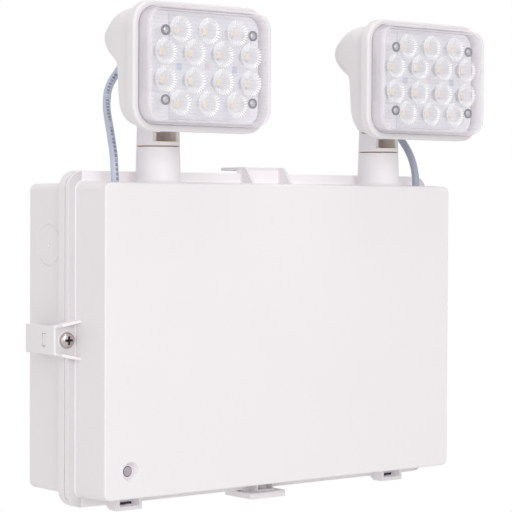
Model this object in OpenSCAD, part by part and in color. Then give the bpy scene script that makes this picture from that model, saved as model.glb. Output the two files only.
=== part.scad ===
// Wall mounted emergency twin spotlight: a sealed battery box with two adjustable lamp heads.
// Millimetres. X points to the viewer's right, Z up, and the front faces -Y.
// The origin is the centre of the back face, which lies flat on the wall.
// A depth is a distance from the wall, so a depth of d is the plane y = -d.

/* [Base box] */
// Width of the back box
base_w = 244.8; // [243:0.1:246]
// Height of the back box
base_h = 159.6; // [156.6:0.1:160.6]
// Corner radius of the back box
base_corner = 4; // [3.5:0.1:6]
// Wall thickness of box and cover
wall = 2.5; // [2:0.1:2.8]
// How far the sealing flanges stand out at each side
flange_side_lip = 2.7; // [2.4:0.1:3.1]
// How far the sealing flanges stand out at top and bottom
flange_end_lip = 6.3; // [6:0.1:6.7]
// Corner radius of the flanges
flange_corner = 9; // [7:0.1:11]
// Depth at which the box widens into its flange
flange_back = 31.2; // [30:0.1:32.5]
// Thickness of the box flange
box_flange_t = 5.7; // [5.4:0.1:5.9]

/* [Perimeter gasket] */
// Thickness of the gasket, which is the gap between the flanges
gasket_t = 0.4; // [0.3:0.05:0.5]
// How far the gasket lies inside the flange edge
gasket_inset = 1.4; // [1.3:0.1:1.6]
// Width of the gasket strip
gasket_strip = 2.8; // [2:0.1:3]

/* [Cover] */
// Thickness of the cover flange
cover_flange_t = 3.1; // [2.8:0.1:3.6]
// Length of the cover from its flange to the flat front face
cover_l = 24.9; // [24.2:0.1:26.6]
// Step from the flange's side edge to the cover's side
cover_side_step = 4.4; // [4.1:0.1:4.6]
// Step from the flange's top edge to the cover's top
cover_end_step = 5.1; // [4.85:0.05:5.35]
// Corner radius at the flange
cover_corner = 5; // [4.5:0.1:6]
// Corner radius at the front face
front_corner = 3.8; // [3:0.1:4.4]
// Draft of each side, flange to front
side_draft = 1.3; // [0.8:0.1:1.8]
// Draft of top and bottom, flange to front
top_draft = 1; // [0.8:0.05:1.25]

/* [Lamp posts] */
// Distance of each post and lamp from the cover's side
post_inset = 43.7; // [41.7:0.1:45.7]
// Distance from the post's foot to the flat front face
post_edge = 2.3; // [2:0.1:2.6]
// Post radius at its foot
post_foot_r = 11.7; // [11.5:0.1:11.9]
// Post radius at its top
post_top_r = 11.3; // [11:0.1:11.5]
// Height of the post's top face above the cover's top edge
post_rise = 17.75; // [16.05:0.05:18.45]
// Radius of the swivel bore in the post
swivel_bore_r = 7; // [6.5:0.1:7.5]
// Running clearance of the swivel spigot
swivel_play = 0.07; // [0.05:0.01:0.1]
// Gap between faces that turn on each other
turn_gap = 0.3; // [0.3:0.05:0.4]

/* [Yoke] */
// Thickness of the yoke's round foot
yoke_foot_t = 2.25; // [2:0.05:3]
// Height of the tilt axis above the yoke's underside
tilt_rise = 15.45; // [15:0.05:16.4]
// Half width of the gap between the ears
ear_gap = 6.4; // [6.2:0.1:6.6]
// Half depth of each ear, and its rounded top
ear_r = 7.1; // [6.8:0.1:7.4]
// Radius of the ears at their top
yoke_top_r = 10.7; // [10.4:0.1:11]
// Radius of the tilt bolt
tilt_bolt_r = 2.5; // [2.3:0.1:2.6]
// Running clearance of the tilt bolt in the knuckle
tilt_play = 0.06; // [0.05:0.01:0.1]

/* [Lamp head] */
// Height of the head's centre above the tilt axis
head_rise = 23.1; // [22.5:0.1:23.9]
// Width of the bezel
bezel_w = 84.3; // [83.8:0.1:85]
// Height of the bezel
bezel_h = 64.5; // [64:0.1:65]
// Corner radius of the bezel
bezel_corner = 12.6; // [11:0.1:13.5]
// Thickness of the bezel
bezel_t = 5.9; // [5.8:0.1:6.5]
// Distance from the bezel's side to the lens box
lens_side_inset = 3.15; // [2.95:0.05:3.35]
// Distance from the bezel's top to the lens box
lens_end_inset = 3.1; // [2.95:0.05:3.25]
// Corner radius of the lens box
lens_corner = 9; // [8:0.1:10]
// How far the lens stands out of the bezel
lens_rise = 8.6; // [8.4:0.1:10.2]
// Wall thickness of the lens
lens_t = 1.5; // [1.3:0.1:1.6]
// Length of the housing shell
shell_l = 30.2; // [30:0.1:30.4]
// Step from the rim's side to the housing shell
shell_side_step = 1.3; // [1.1:0.1:1.5]
// Step from the rim's top to the housing shell
shell_end_step = 1.2; // [1:0.1:1.4]
// Wall thickness of the housing shell
shell_t = 2.3; // [2:0.1:2.6]
// How far the housing's rear face lies in front of the tilt axis
shell_ahead = 1.6; // [1.2:0.1:2.2]

/* [Light source] */
// Distance of the outer light points from the board's side edge
led_side_edge = 9.225; // [8.9:0.025:9.6]
// Height of the two middle rows from the centre
led_row_1 = 6.85; // [6.6:0.05:7]
// Distance of the outer rows from the board's top edge
led_end_edge = 7.9; // [7.6:0.05:8]
// Front radius of each collimator lens
optic_r = 6.2; // [6:0.1:6.3]
// Length of each collimator lens
optic_l = 6.1; // [5.5:0.1:6.4]
// Distance of the board screws from the board's side edge
board_screw_side = 8.6; // [8.2:0.1:8.8]
// Distance of the board screws from the board's top edge
board_screw_end = 8.9; // [8.8:0.1:9.2]
// Radius of the board screw heads
board_screw_head_r = 2.8; // [2.6:0.1:2.9]

/* [Lamp cables] */
// Radius of the lamp cable
cable_r = 2.05; // [1.9:0.05:2.2]
// Clearance of the cable in the cover's hole
cable_play = 0.3; // [0.2:0.05:0.4]

/* [Side fixing lugs] */
// How far each side lug stands out from the flange
side_lug_out = 8.6; // [8.3:0.1:9.4]
// Half height of the lug's outer plate
side_lug_half = 7.35; // [7:0.05:7.6]
// Half height of the lug where its ribs meet the cover
side_rib_half = 10.6; // [10.2:0.1:11]
// Thickness of lug plates and ribs
lug_t = 1.6; // [1.4:0.1:1.8]
// Distance of the cover screws outside the flange's side edge
cover_screw_out = 1.1; // [0.9:0.1:1.3]
// Radius of the cover screw heads
cover_screw_head_r = 4.05; // [3.8:0.05:4.2]
// Radius of the cover screws
cover_screw_r = 2; // [1.9:0.05:2.1]

/* [Top and bottom lugs] */
// Half width of the top lug
top_lug_half = 14.1; // [13.5:0.1:15]
// How far the top lug rises above the flange
top_lug_rise = 3.4; // [3.2:0.1:4]
// Half width of the bottom plate
bottom_plate_half = 12.4; // [12:0.1:13]
// How far the bottom plate lies below the flange
bottom_plate_drop = 4.3; // [4.1:0.1:4.9]
// Distance of the two bottom corner lugs from the middle
corner_lug_x = 92; // [88:0.1:95]
// Half width of the bottom corner lugs
corner_lug_half = 8.05; // [7.8:0.05:8.4]
// How far the bottom corner lugs reach below the flange
corner_lug_drop = 2.6; // [2.5:0.1:3.1]

/* [Wall fixing] */
// Sideways spacing of the wall screws
wall_hole_dx = 200; // [190:1:210]
// Height spacing of the wall screws
wall_hole_dz = 110; // [104:1:116]
// Radius of the wall screw holes
wall_hole_r = 2.5; // [2.2:0.1:2.7]

/* [Knockouts] */
// Depth of the side knockouts' centre
knockout_d = 18.3; // [17:0.1:18.6]
// Height of the side knockouts
knockout_z = 47.8; // [45:0.1:50]
// Radius of the knockout disc, for a 20 mm conduit
knockout_r = 10.25; // [10:0.05:10.5]
// Width of the thinned ring round the disc
knockout_ring = 1.75; // [1.2:0.05:2]

/* [Status lamp] */
// Distance of the status lamp from the front face's left edge
status_side = 16; // [14.4:0.1:18.4]
// Distance of the status lamp from the front face's bottom edge
status_up = 13.8; // [13:0.1:16]
// Mouth radius of the conical recess
status_mouth_r = 5.1; // [4.8:0.1:5.4]
// Depth of the conical recess
status_recess = 3.1; // [3:0.1:3.4]
// Radius of the status lamp
status_r = 2.7; // [2.5:0.1:2.8]

/* [Battery] */
// Radius of each battery cell
cell_r = 16.2; // [15.8:0.1:16.3]
// Length of each battery cell
cell_l = 70; // [66:0.5:72]
// Gap between neighbouring cells
cell_gap = 0.4; // [0.3:0.1:0.5]
// Thickness of the battery tray
tray_t = 2; // [1.8:0.1:2.4]
// Height of the tray's shelf above the box floor
tray_lift = 1.5; // [1:0.1:2]

/* [Charger board] */
// Width of the charger board
board_w = 190; // [186:1:194]
// Free height between the battery tray and the charger board
board_below = 15.5; // [14:0.5:17]
// Free height above the charger board
board_above = 7; // [6:0.5:8]
// Thickness of the charger board
board_t = 1.6; // [1.5:0.1:1.7]
// Length of the board standoffs
standoff_l = 11.5; // [10:0.5:13]

/* [Hidden] */

// Shared overrun of cuts, and the small lap of solids that grow together
cut = 0.5;
lap = 0.3;
// Facets of round solids, and of the rounded shells that are hulled or lofted
$fn = 48;
hull_fn = 32;
corner_steps = 5;
// A ring of the shell lower than this is left out of its cavity
least_ring_h = 3;
// Clearance of a piece pushed into a hole
fit_gap = 0.05;

// Colours
white = "#f2f0f1";
pale_grey = "#c9cdd8";
dark_rubber = "#3a3836";
steel = "#b9b4ae";
clear = [0.9, 0.93, 0.95, 0.35];
board_green = "#2f6b4a";
board_white = "#eef0f3";
chip_yellow = "#f3d46a";
metal = "#a9adb2";
cell_blue = "#3f6fae";
black_plastic = "#26282b";

// Derived enclosure sizes
seam_depth = flange_back + box_flange_t;
gasket_front = seam_depth + gasket_t;
flange_front = gasket_front + cover_flange_t;
cover_front = flange_front + cover_l;
post_d = cover_front - post_edge - post_foot_r;
flange_w = base_w + 2 * flange_side_lip;
flange_h = base_h + 2 * flange_end_lip;
cover_w = flange_w - 2 * cover_side_step;
cover_h = flange_h - 2 * cover_end_step;
front_w = cover_w - 2 * side_draft;
front_h = cover_h - 2 * top_draft;
draft_length = cover_front - flange_front;
cover_inner_front = cover_front - wall;
front_slab_t = 0.2;
box_inner_corner = base_corner - wall + lap;
box_inner_h = base_h - 2 * wall;

// Height of the cover's drafted top, or depth below the middle of its bottom, at a depth
function cover_top(depth) = cover_h / 2 - top_draft * (depth - flange_front) / draft_length;
// Half width of the cover at a depth
function cover_side(depth) = cover_w / 2 - side_draft * (depth - flange_front) / draft_length;

// Pan head screws: crown height and top radius, and half length, half width and floor of the
// cross, all as shares of the head's own sizes
crown_share = 0.35;
crown_r_share = 0.72;
cross_l_share = 0.57;
cross_w_share = 0.14;
cross_floor_share = 0.45;

// Swivel: post boss, spigot, washer and screw
post_x = cover_w / 2 - post_inset;
post_top_z = cover_h / 2 + post_rise;
boss_r = 10;
boss_drop = 5.5;
boss_bottom_z = cover_h / 2 - boss_drop;
spigot_r = swivel_bore_r - swivel_play;
spigot_bottom_z = boss_bottom_z - turn_gap;
swivel_washer_r = 9.6;
swivel_washer_t = 1.2;
swivel_washer_z = spigot_bottom_z - swivel_washer_t;
swivel_screw_r = 2;
swivel_screw_head_r = 4;
swivel_screw_head_t = 2.4;
swivel_screw_l = 16;
thread_bite = 0.2;
yoke_bottom_z = post_top_z + turn_gap;
yoke_slot_z = yoke_bottom_z + yoke_foot_t;
yoke_web_t = 2.4;
yoke_web_h = 5.5;
tilt_z = yoke_bottom_z + tilt_rise;
yoke_top_z = tilt_z + ear_r;

// Tilt joint: bolt, nut, washers and knuckle
tilt_head_r = 4.5;
tilt_head_t = 2.6;
tilt_head_top_r = 3.6;
tilt_socket_r = 1.8;
tilt_socket_t = 1.6;
ear_seat_x = 9.4;
ear_seat_r = 5.2;
tilt_nut_r = 4.6;
tilt_nut_t = 3.4;
tilt_hole_r = tilt_bolt_r + tilt_play;
knuckle_half = ear_gap - turn_gap;
knuckle_r = 6.8;
knuckle_arm_h = 12;
knuckle_arm_share = 0.32;
// The nut's corners stop short of the ear seat
nut_sides = 6;

// Head sections. The shell rises from the bezel and steps down to a shallow lower half.
head_z = tilt_z + head_rise;
bezel_lip = 1.55;
rim_w = bezel_w - 2 * bezel_lip;
rim_h = bezel_h - 2 * bezel_lip;
shell_w = rim_w - 2 * shell_side_step;
shell_h = rim_h - 2 * shell_end_step;
shell_back = post_d + shell_ahead;
lens_w = bezel_w - 2 * lens_side_inset;
lens_h = bezel_h - 2 * lens_end_inset;
rim_corner = 11.2;
rim_t = 1.4;
rim_inset = 0.2;
rim_back = shell_back + shell_l;
bezel_back = rim_back - rim_inset;
bezel_front = bezel_back + bezel_t;
lens_front = bezel_front + lens_rise;
rim_front = rim_back + rim_t;
head_gasket_t = 0.5;
head_gasket_strip = 3;
lens_flange_t = 1.7;
lens_flange_back = rim_front + head_gasket_t;
lens_flange_front = lens_flange_back + lens_flange_t;
bezel_play = 0.2;
bezel_lens_play = 0.25;
heat_plate_t = 2;
board_side_gap = 1.5;
board_end_gap = 1.65;
led_board_w = lens_w - 2 * (lens_t + board_side_gap);
led_board_h = lens_h - 2 * (lens_t + board_end_gap);
// The board is notched at its corners, so the screws seat on the plate behind it
notch_past_screw_x = 3.2;
notch_past_screw_z = 4.6;
notch_w = board_screw_side + notch_past_screw_x;
notch_h = board_screw_end + notch_past_screw_z;
board_screw_x = led_board_w / 2 - board_screw_side;
board_screw_z = led_board_h / 2 - board_screw_end;
led_columns = 4;
led_pitch = (led_board_w - 2 * led_side_edge) / (led_columns - 1);
led_row_2 = led_board_h / 2 - led_end_edge;
led_board_t = 1.6;
led_board_corner = 6;
optic_play = 1.3;
optic_front = lens_front - lens_t - optic_play;
led_board_front = optic_front - optic_l;
led_board_back = led_board_front - led_board_t;
heat_plate_back = led_board_back - heat_plate_t;
optic_foot_r = 3.6;
chip_w = 2.8;
chip_h = 3.2;
chip_t = 0.7;
chip_pocket_r = 2.4;
chip_pocket_t = 1.1;
post_r = 3.2;
board_screw_r = 1.5;
board_screw_head_t = 1.6;
board_screw_l = 8;
board_screw_hole_r = board_screw_r + thread_bite;

// Cable gland on the rear face of each head, and the bush under the cover's top
gland_x = 3;
gland_rise = 13.4;
gland_z = head_z + gland_rise;
gland_nose_r = 3.2;
gland_nose_l = 3;
gland_flange_r = 5;
gland_flange_t = 2;
gland_body_r = 3;
gland_body_l = 6;
gland_boss_r = 5.6;
gland_boss_l = 7;
cable_hole_x = 28;
cable_hole_ahead = 1.3;
cable_hole_d = post_d + cable_hole_ahead;
cable_boss_r = 5.4;
cable_boss_drop = 3.7;
cable_boss_z = cover_h / 2 - cable_boss_drop;
cable_bush_r = 4.6;
cable_bush_t = 4;

// Side lugs
side_lug_x = flange_w / 2 + side_lug_out;
cover_screw_x = flange_w / 2 + cover_screw_out;
lug_floor_back = gasket_front;
slot_setback = 7.8;
slot_w = 3.6;
slot_half = 3.4;
slot_back = seam_depth - slot_setback;
slot_front = slot_back + slot_w;
skirt_flat_l = 4.6;
skirt_bevel_l = 12.2;
skirt_bevel_in = 1;
skirt_bevel = slot_back - skirt_flat_l;
skirt_back = skirt_bevel - skirt_bevel_l;
side_rib_rise = 4.6;
side_rib_front = flange_front + side_rib_rise;
box_lug_gap = 0.9;
box_lug_half = 6.4;
box_lug_reach = 9.1;
box_lug_back = slot_back - box_lug_reach;
catch_play = 0.4;
catch_rise = 1.3;
screw_boss_r = 4.7;
screw_boss_t = 0.3;
cover_screw_hole_r = cover_screw_r + thread_bite;
cover_screw_pilot_r = cover_screw_r - thread_bite;
cover_screw_head_t = 2.4;
cover_screw_l = 16;

// Top lug
top_lug_z = flange_h / 2 + top_lug_rise;
top_lug_t = 1.8;
top_lug_reach = 18.3;
top_lug_ahead = 4.6;
top_rib_ahead = 11.1;
top_lug_back = flange_front - top_lug_reach;
top_lug_front = flange_front + top_lug_ahead;
top_rib_front = flange_front + top_rib_ahead;
lug_round = 2;

// Bottom plate with its small box lug, and the two corner lugs
bottom_plate_z = flange_h / 2 + bottom_plate_drop;
corner_lug_z = flange_h / 2 + corner_lug_drop;
bottom_plate_t = 3.3;
bottom_plate_reach = 15.4;
bottom_plate_ahead = 8.9;
bottom_plate_back = flange_front - bottom_plate_reach;
bottom_plate_front = flange_front + bottom_plate_ahead;
small_box_half = 6.1;
small_box_ahead = 5.4;
small_box_front = flange_front + small_box_ahead;
small_box_wall = 1;
corner_lug_ahead = 7.5;
corner_lug_front = flange_front + corner_lug_ahead;
corner_lug_wall = 2;
corner_lug_chamfer_d = 4.1;
corner_lug_chamfer_z = 2.3;
corner_lug_floor = 2.1;
corner_sink_t = 1.1;
corner_sink_l = 7.6;
corner_sink_lip = 1;
corner_pocket_top = 0.4;

// Knockout ring
knockout_ring_t = 0.5;
knockout_dimple_r = 1.3;
knockout_dimple_t = 0.6;

// Status lamp
status_x = front_w / 2 - status_side;
status_z = front_h / 2 - status_up;
status_floor_r = 3.3;
status_play = 0.1;
status_bore_r = status_r + status_play;
status_boss_r = 6.5;
status_boss_l = 7.9;
status_boss_back = cover_front - status_boss_l;
status_flange_r = 3.1;
status_flange_t = 1;
status_body_back = status_boss_back;
status_dome_rise = 0.2;
status_lead_r = 0.3;
status_lead_l = 9;
status_lead_x = 1.27;
status_holder_r = 4.6;
status_holder_l = 4;

// Battery
cell_count = 4;
cell_pitch = 2 * cell_r + cell_gap;
tray_w = cell_count * cell_pitch + 2 * tray_t;
tray_floor_z = -box_inner_h / 2 + tray_lift;
cell_bottom_z = tray_floor_z + tray_t;
cell_d = wall + tray_t + cell_r;
cell_cap_r = 4;
cell_cap_t = 1.5;
tray_wall_l = 17;
tray_back_h = cell_l + 2 * tray_t;
strap_w = 12;
strap_t = 1.2;
strap_z = cell_bottom_z + cell_l / 2;
strap_front = cell_d + cell_r + strap_t;

// Charger board and what it carries
board_h = box_inner_h - tray_lift - tray_back_h - board_below - board_above;
board_z = box_inner_h / 2 - board_above - board_h / 2;
board_back = wall + standoff_l;
board_front = board_back + board_t;
board_corner = 2;
standoff_r = 3.4;
standoff_inset = 6;
standoff_x = board_w / 2 - standoff_inset;
standoff_z = board_h / 2 - standoff_inset;
charger_screw_r = 1.5;
charger_screw_head_r = 2.8;
charger_screw_head_t = 1.8;
charger_screw_l = 8;
transformer_x = -54;
transformer_w = 36;
transformer_h = 32;
transformer_t = 27;
winding_w = 22;
winding_over = 3;
relay_w = 22;
relay_h = 16;
relay_t = 15.5;
capacitor_r = 6.5;
capacitor_l = 22;
capacitor_pitch = 16;
capacitor_count = 3;
capacitor_gap = 1.5;
capacitor_span = (capacitor_count - 1) * capacitor_pitch;
capacitor_x = transformer_x + transformer_w / 2 + capacitor_gap + capacitor_r + capacitor_span / 2;
capacitor_z = 4;
terminal_edge = 6;
terminal_pitch = 8;
terminal_count = 4;
terminal_h = 12;
terminal_z = -board_h / 2 + terminal_edge + terminal_h / 2;
terminal_gap = 9.5;
terminal_w = terminal_count * terminal_pitch;
terminal_x = capacitor_x + capacitor_span / 2 + capacitor_r + terminal_gap + terminal_w / 2;
relay_gap = 1;
relay_x = terminal_x + terminal_w / 2 + relay_gap + relay_w / 2;
terminal_t = 14;
terminal_screw_r = 2.2;
terminal_screw_l = 6;
terminal_wire_r = 1.8;

// Cable route of one lamp, as [outward from the lamp, depth, height], chosen by hand
cable_route = [
  [28, 52.6, 77.3], [28, 52.6, 82], [27.9, 52, 88], [27.4, 50.6, 94], [26.6, 48, 100],
  [25.2, 44.4, 106], [23.4, 40, 112], [21.4, 35.6, 118], [19.2, 32.4, 123],
  [16.6, 29.6, 128], [13.4, 27.8, 132.6], [10, 27.4, 137], [7, 29, 142], [4.8, 33, 147],
  [3.4, 39, 150.4], [3, 47.9, 151]
];
cable_split = 8;
cable_sides = 10;

// Housing loft stations: share of the shell's length from rim to rear face, then the low edge's
// and the high edge's shares of the shell height, the half width share, and the two corner shares
// of the shell height
shell_stations_shares = [
  [0, 0, 1, 1, 0.15, 0.17], [0.2, 0.004, 1, 0.998, 0.15, 0.165], [0.3, 0.015, 0.998, 0.997, 0.15, 0.155],
  [0.35, 0.04, 0.996, 0.995, 0.15, 0.15], [0.385, 0.1, 0.995, 0.994, 0.15, 0.145],
  [0.405, 0.2, 0.993, 0.992, 0.16, 0.14], [0.425, 0.33, 0.991, 0.991, 0.16, 0.14],
  [0.46, 0.41, 0.988, 0.989, 0.15, 0.14], [0.53, 0.475, 0.982, 0.984, 0.14, 0.14],
  [0.62, 0.525, 0.97, 0.977, 0.13, 0.14], [0.74, 0.56, 0.95, 0.963, 0.13, 0.15],
  [0.85, 0.595, 0.915, 0.945, 0.13, 0.15], [0.94, 0.64, 0.87, 0.915, 0.11, 0.125],
  [0.985, 0.685, 0.826, 0.875, 0.075, 0.085], [1, 0.72, 0.795, 0.82, 0.025, 0.03]
];

// Rounded rectangle round the origin
module rounded(w, h, r) {
  square([w - 2 * r, h], center = true);
  square([w, h - 2 * r], center = true);
  for (sx = [-1, 1], sz = [-1, 1])
    translate([sx * (w / 2 - r), sz * (h / 2 - r)]) circle(r = r);
}

// Rounded plate parallel to the wall, between two depths
module slab(w, h, r, from, to) {
  translate([0, -from, 0]) rotate([90, 0, 0]) linear_extrude(height = to - from) rounded(w, h, r);
}

// Frame between two depths with a rounded opening
module frame(w, h, r, strip, from, to) {
  difference() {
    slab(w, h, r, from, to);
    slab(w - 2 * strip, h - 2 * strip, max(r - strip, lap), from - cut, to + cut);
  }
}

// Round bar along the depth
module bar(r, from, to) {
  translate([0, -from, 0]) rotate([90, 0, 0]) cylinder(r = r, h = to - from);
}

// Box between depths, widths and heights
module block(x0, x1, d0, d1, z0, z1) {
  translate([x0, -d1, z0]) cube([x1 - x0, d1 - d0, z1 - z0]);
}

// Prism along X from a [depth, height] outline
module side_prism(points, half) {
  translate([-half, 0, 0]) rotate([90, 0, 90]) linear_extrude(height = 2 * half)
    polygon([for (p = points) [-p[0], p[1]]]);
}

// Prism along Z from a [sideways, depth] outline
module plan_prism(points, z0, z1) {
  translate([0, 0, z0]) linear_extrude(height = z1 - z0) polygon([for (p = points) [p[0], -p[1]]]);
}

// Prism along the depth from a [sideways, height] outline
module front_prism(points, from, to) {
  translate([0, -from, 0]) rotate([90, 0, 0]) linear_extrude(height = to - from) polygon(points);
}

// Pan head with a cross recess, seated at a depth, with its shank behind it
module pan_screw(r, head_r, head_t, length, seat) {
  crown = head_t * crown_share;
  difference() {
    union() {
      bar(r, seat - length, seat + lap);
      bar(head_r, seat, seat + head_t - crown);
      translate([0, -(seat + head_t - crown), 0]) rotate([90, 0, 0])
        cylinder(r1 = head_r, r2 = head_r * crown_r_share, h = crown);
    }
    for (turn = [0, 90])
      rotate([0, turn, 0])
        block(-head_r * cross_l_share, head_r * cross_l_share, seat + head_t * cross_floor_share,
              seat + head_t + cut, -head_r * cross_w_share, head_r * cross_w_share);
  }
}

// Drafted body of the cover, or its cavity when inset by a wall
module drafted_body(inset, from, to) {
  hull() {
    slab(cover_w - 2 * inset, cover_h - 2 * inset, cover_corner - inset / 2, from, flange_front,
         $fn = hull_fn);
    slab(front_w - 2 * inset, front_h - 2 * inset, front_corner - inset / 2, to - front_slab_t, to,
         $fn = hull_fn);
  }
}

module back_box() {
  color(white) difference() {
    union() {
      slab(base_w, base_h, base_corner, 0, flange_back + lap);
      slab(flange_w, flange_h, flange_corner, flange_back, seam_depth);
      for (s = [-1, 1]) scale([s, 1, 1]) box_lug();
    }
    difference() {
      slab(base_w - 2 * wall, box_inner_h, box_inner_corner, wall, seam_depth + cut);
      for (sx = [-1, 1], sz = [-1, 1])
        translate([sx * standoff_x, 0, board_z + sz * standoff_z]) bar(standoff_r, 0, board_back);
    }
    for (sx = [-1, 1], sz = [-1, 1]) {
      translate([sx * wall_hole_dx / 2, 0, sz * wall_hole_dz / 2]) bar(wall_hole_r, -cut, wall + cut);
      translate([sx * standoff_x, 0, board_z + sz * standoff_z])
        bar(charger_screw_r - thread_bite, board_back - charger_screw_l, board_back + cut);
    }
    for (s = [-1, 1]) {
      knockout_marks(s);
      translate([s * cover_screw_x, 0, 0])
        bar(cover_screw_pilot_r, seam_depth - cover_screw_l, seam_depth + cut);
    }
  }
}

// Half width and floor height of the pocket in a bottom corner lug
function slot_x_half() = corner_lug_half - corner_lug_wall;
function corner_pocket_floor() = -corner_lug_z + corner_lug_floor;

// Ear of the back box that takes the cover screw, with the catch that fills the lug's slot
module box_lug() {
  outer = side_lug_x - lug_t - box_lug_gap;
  block(base_w / 2 - lap, outer, box_lug_back, seam_depth, -box_lug_half, box_lug_half);
  block(outer - lap, outer + catch_rise, slot_back + catch_play, slot_front - catch_play,
        -slot_half + catch_play, slot_half - catch_play);
}

// Ring groove and centre dimple of a side knockout
module knockout_marks(side) {
  translate([side * base_w / 2, -knockout_d, knockout_z]) rotate([0, 90, 0]) {
    difference() {
      cylinder(r = knockout_r + knockout_ring, h = 2 * knockout_ring_t, center = true);
      cylinder(r = knockout_r, h = 2 * knockout_ring_t + cut, center = true);
    }
    cylinder(r = knockout_dimple_r, h = 2 * knockout_dimple_t, center = true);
  }
}

module perimeter_gasket() {
  color(dark_rubber)
    frame(flange_w - 2 * gasket_inset, flange_h - 2 * gasket_inset, flange_corner - gasket_inset,
          gasket_strip, seam_depth, gasket_front);
}

module front_cover() {
  color(white) difference() {
    union() {
      slab(flange_w, flange_h, flange_corner, gasket_front, flange_front);
      drafted_body(0, flange_front - lap, cover_front);
      for (s = [-1, 1]) {
        scale([s, 1, 1]) side_lug();
        translate([s * corner_lug_x, 0, 0]) corner_lug();
        translate([s * post_x, -post_d, cover_top(post_d) - wall])
          cylinder(r1 = post_foot_r, r2 = post_top_r, h = post_top_z - cover_top(post_d) + wall);
      }
      top_lug();
      bottom_lug();
    }
    difference() {
      drafted_body(wall, gasket_front - cut, cover_inner_front);
      for (s = [-1, 1]) {
        translate([s * post_x, -post_d, boss_bottom_z])
          cylinder(r = boss_r, h = cover_top(post_d) - boss_bottom_z);
        translate([s * (post_x + cable_hole_x), -cable_hole_d, cable_boss_z])
          cylinder(r = cable_boss_r, h = cover_top(cable_hole_d) - cable_boss_z);
      }
      translate([-status_x, 0, -status_z]) bar(status_boss_r, status_boss_back, cover_inner_front + lap);
    }
    for (s = [-1, 1]) {
      translate([s * post_x, -post_d, boss_bottom_z - cut])
        cylinder(r = swivel_bore_r, h = post_top_z - boss_bottom_z + 2 * cut);
      translate([s * (post_x + cable_hole_x), -cable_hole_d, cable_boss_z - cut])
        cylinder(r = cable_r + cable_play, h = cover_top(cable_hole_d) - cable_boss_z + 2 * cut);
      translate([s * cover_screw_x, 0, 0])
        bar(cover_screw_hole_r, gasket_front - cut, flange_front + screw_boss_t + cut);
      translate([s * corner_lug_x, 0, 0]) corner_pocket();
    }
    translate([-status_x, 0, -status_z]) status_recess_cut();
  }
}

// Conical recess of the status lamp with its through bore
module status_recess_cut() {
  floor_d = cover_front - status_recess;
  bar(status_bore_r, status_boss_back - cut, floor_d + cut);
  slope = (status_mouth_r - status_floor_r) / status_recess;
  translate([0, -floor_d, 0]) rotate([90, 0, 0])
    cylinder(r1 = status_floor_r, r2 = status_mouth_r + slope * cut, h = status_recess + cut);
}

// Lug on the cover's side: floor, outer plate with a slot, and two ribs
module side_lug() {
  inner = cover_side(flange_front) - wall / 2;
  foot = [inner, side_rib_half];
  difference() {
    union() {
      front_prism([[foot[0], -foot[1]], [side_lug_x, -side_lug_half],
                   [side_lug_x, side_lug_half], [foot[0], foot[1]]], lug_floor_back, flange_front);
      plan_prism([[side_lug_x, flange_front], [side_lug_x, skirt_bevel],
                  [side_lug_x - skirt_bevel_in, skirt_back],
                  [side_lug_x - skirt_bevel_in - lug_t, skirt_back],
                  [side_lug_x - lug_t, skirt_bevel], [side_lug_x - lug_t, flange_front]],
                 -side_lug_half, side_lug_half);
      for (s = [-1, 1]) side_rib(s, foot);
      translate([cover_screw_x, 0, 0]) bar(screw_boss_r, flange_front - lap, flange_front + screw_boss_t);
    }
    block(side_lug_x - lug_t - cut, side_lug_x + cut, slot_back, slot_front, -slot_half, slot_half);
  }
}

// One slanted rib of a side lug
module side_rib(s, foot) {
  intersection() {
    front_prism([[foot[0], s * foot[1]], [side_lug_x, s * side_lug_half],
                 [side_lug_x, s * (side_lug_half - lug_t)], [foot[0], s * (foot[1] - lug_t)]],
                lug_floor_back, side_rib_front + cut);
    plan_prism([[foot[0], lug_floor_back], [side_lug_x, lug_floor_back], [side_lug_x, flange_front],
                [cover_side(side_rib_front), side_rib_front], [foot[0], side_rib_front]],
               -side_rib_half, side_rib_half);
  }
}

// Lug on the cover's top: plate, web and two ribs
module top_lug() {
  translate([0, -top_lug_back - top_lug_reach / 2, top_lug_z - top_lug_t])
    linear_extrude(height = top_lug_t) {
      rounded(2 * top_lug_half, top_lug_reach, lug_round);
      translate([-top_lug_half, -top_lug_reach / 2]) square([2 * top_lug_half, top_lug_reach / 2]);
    }
  block(-top_lug_half, top_lug_half, lug_floor_back, flange_front, cover_top(flange_front) - wall / 2,
        top_lug_z - lap);
  foot_z = cover_top(top_rib_front);
  for (s = [-1, 1])
    translate([s * (top_lug_half - top_lug_t / 2), 0, 0])
      side_prism([[lug_floor_back, foot_z - wall / 2], [lug_floor_back, top_lug_z],
                  [top_lug_front, top_lug_z], [top_rib_front, foot_z],
                  [top_rib_front, foot_z - wall / 2]], top_lug_t / 2);
}

// Plate under the cover's bottom edge, with a small open box above it
module bottom_lug() {
  plate_d = bottom_plate_front - bottom_plate_back;
  plate_top = -bottom_plate_z + bottom_plate_t;
  translate([0, -bottom_plate_back - plate_d / 2, -bottom_plate_z]) linear_extrude(height = bottom_plate_t)
    rounded(2 * bottom_plate_half, plate_d, lug_round);
  block(-bottom_plate_half + lug_round, bottom_plate_half - lug_round, lug_floor_back, flange_front,
        plate_top - lap, -cover_top(flange_front) + wall / 2);
  difference() {
    block(-small_box_half, small_box_half, flange_front - lap, small_box_front, plate_top - lap,
          -cover_top(small_box_front) + wall / 2);
    block(-small_box_half + small_box_wall, small_box_half - small_box_wall,
          flange_front + small_box_wall, small_box_front + cut, plate_top + small_box_wall,
          -cover_top(flange_front) - corner_pocket_top);
  }
}

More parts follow.
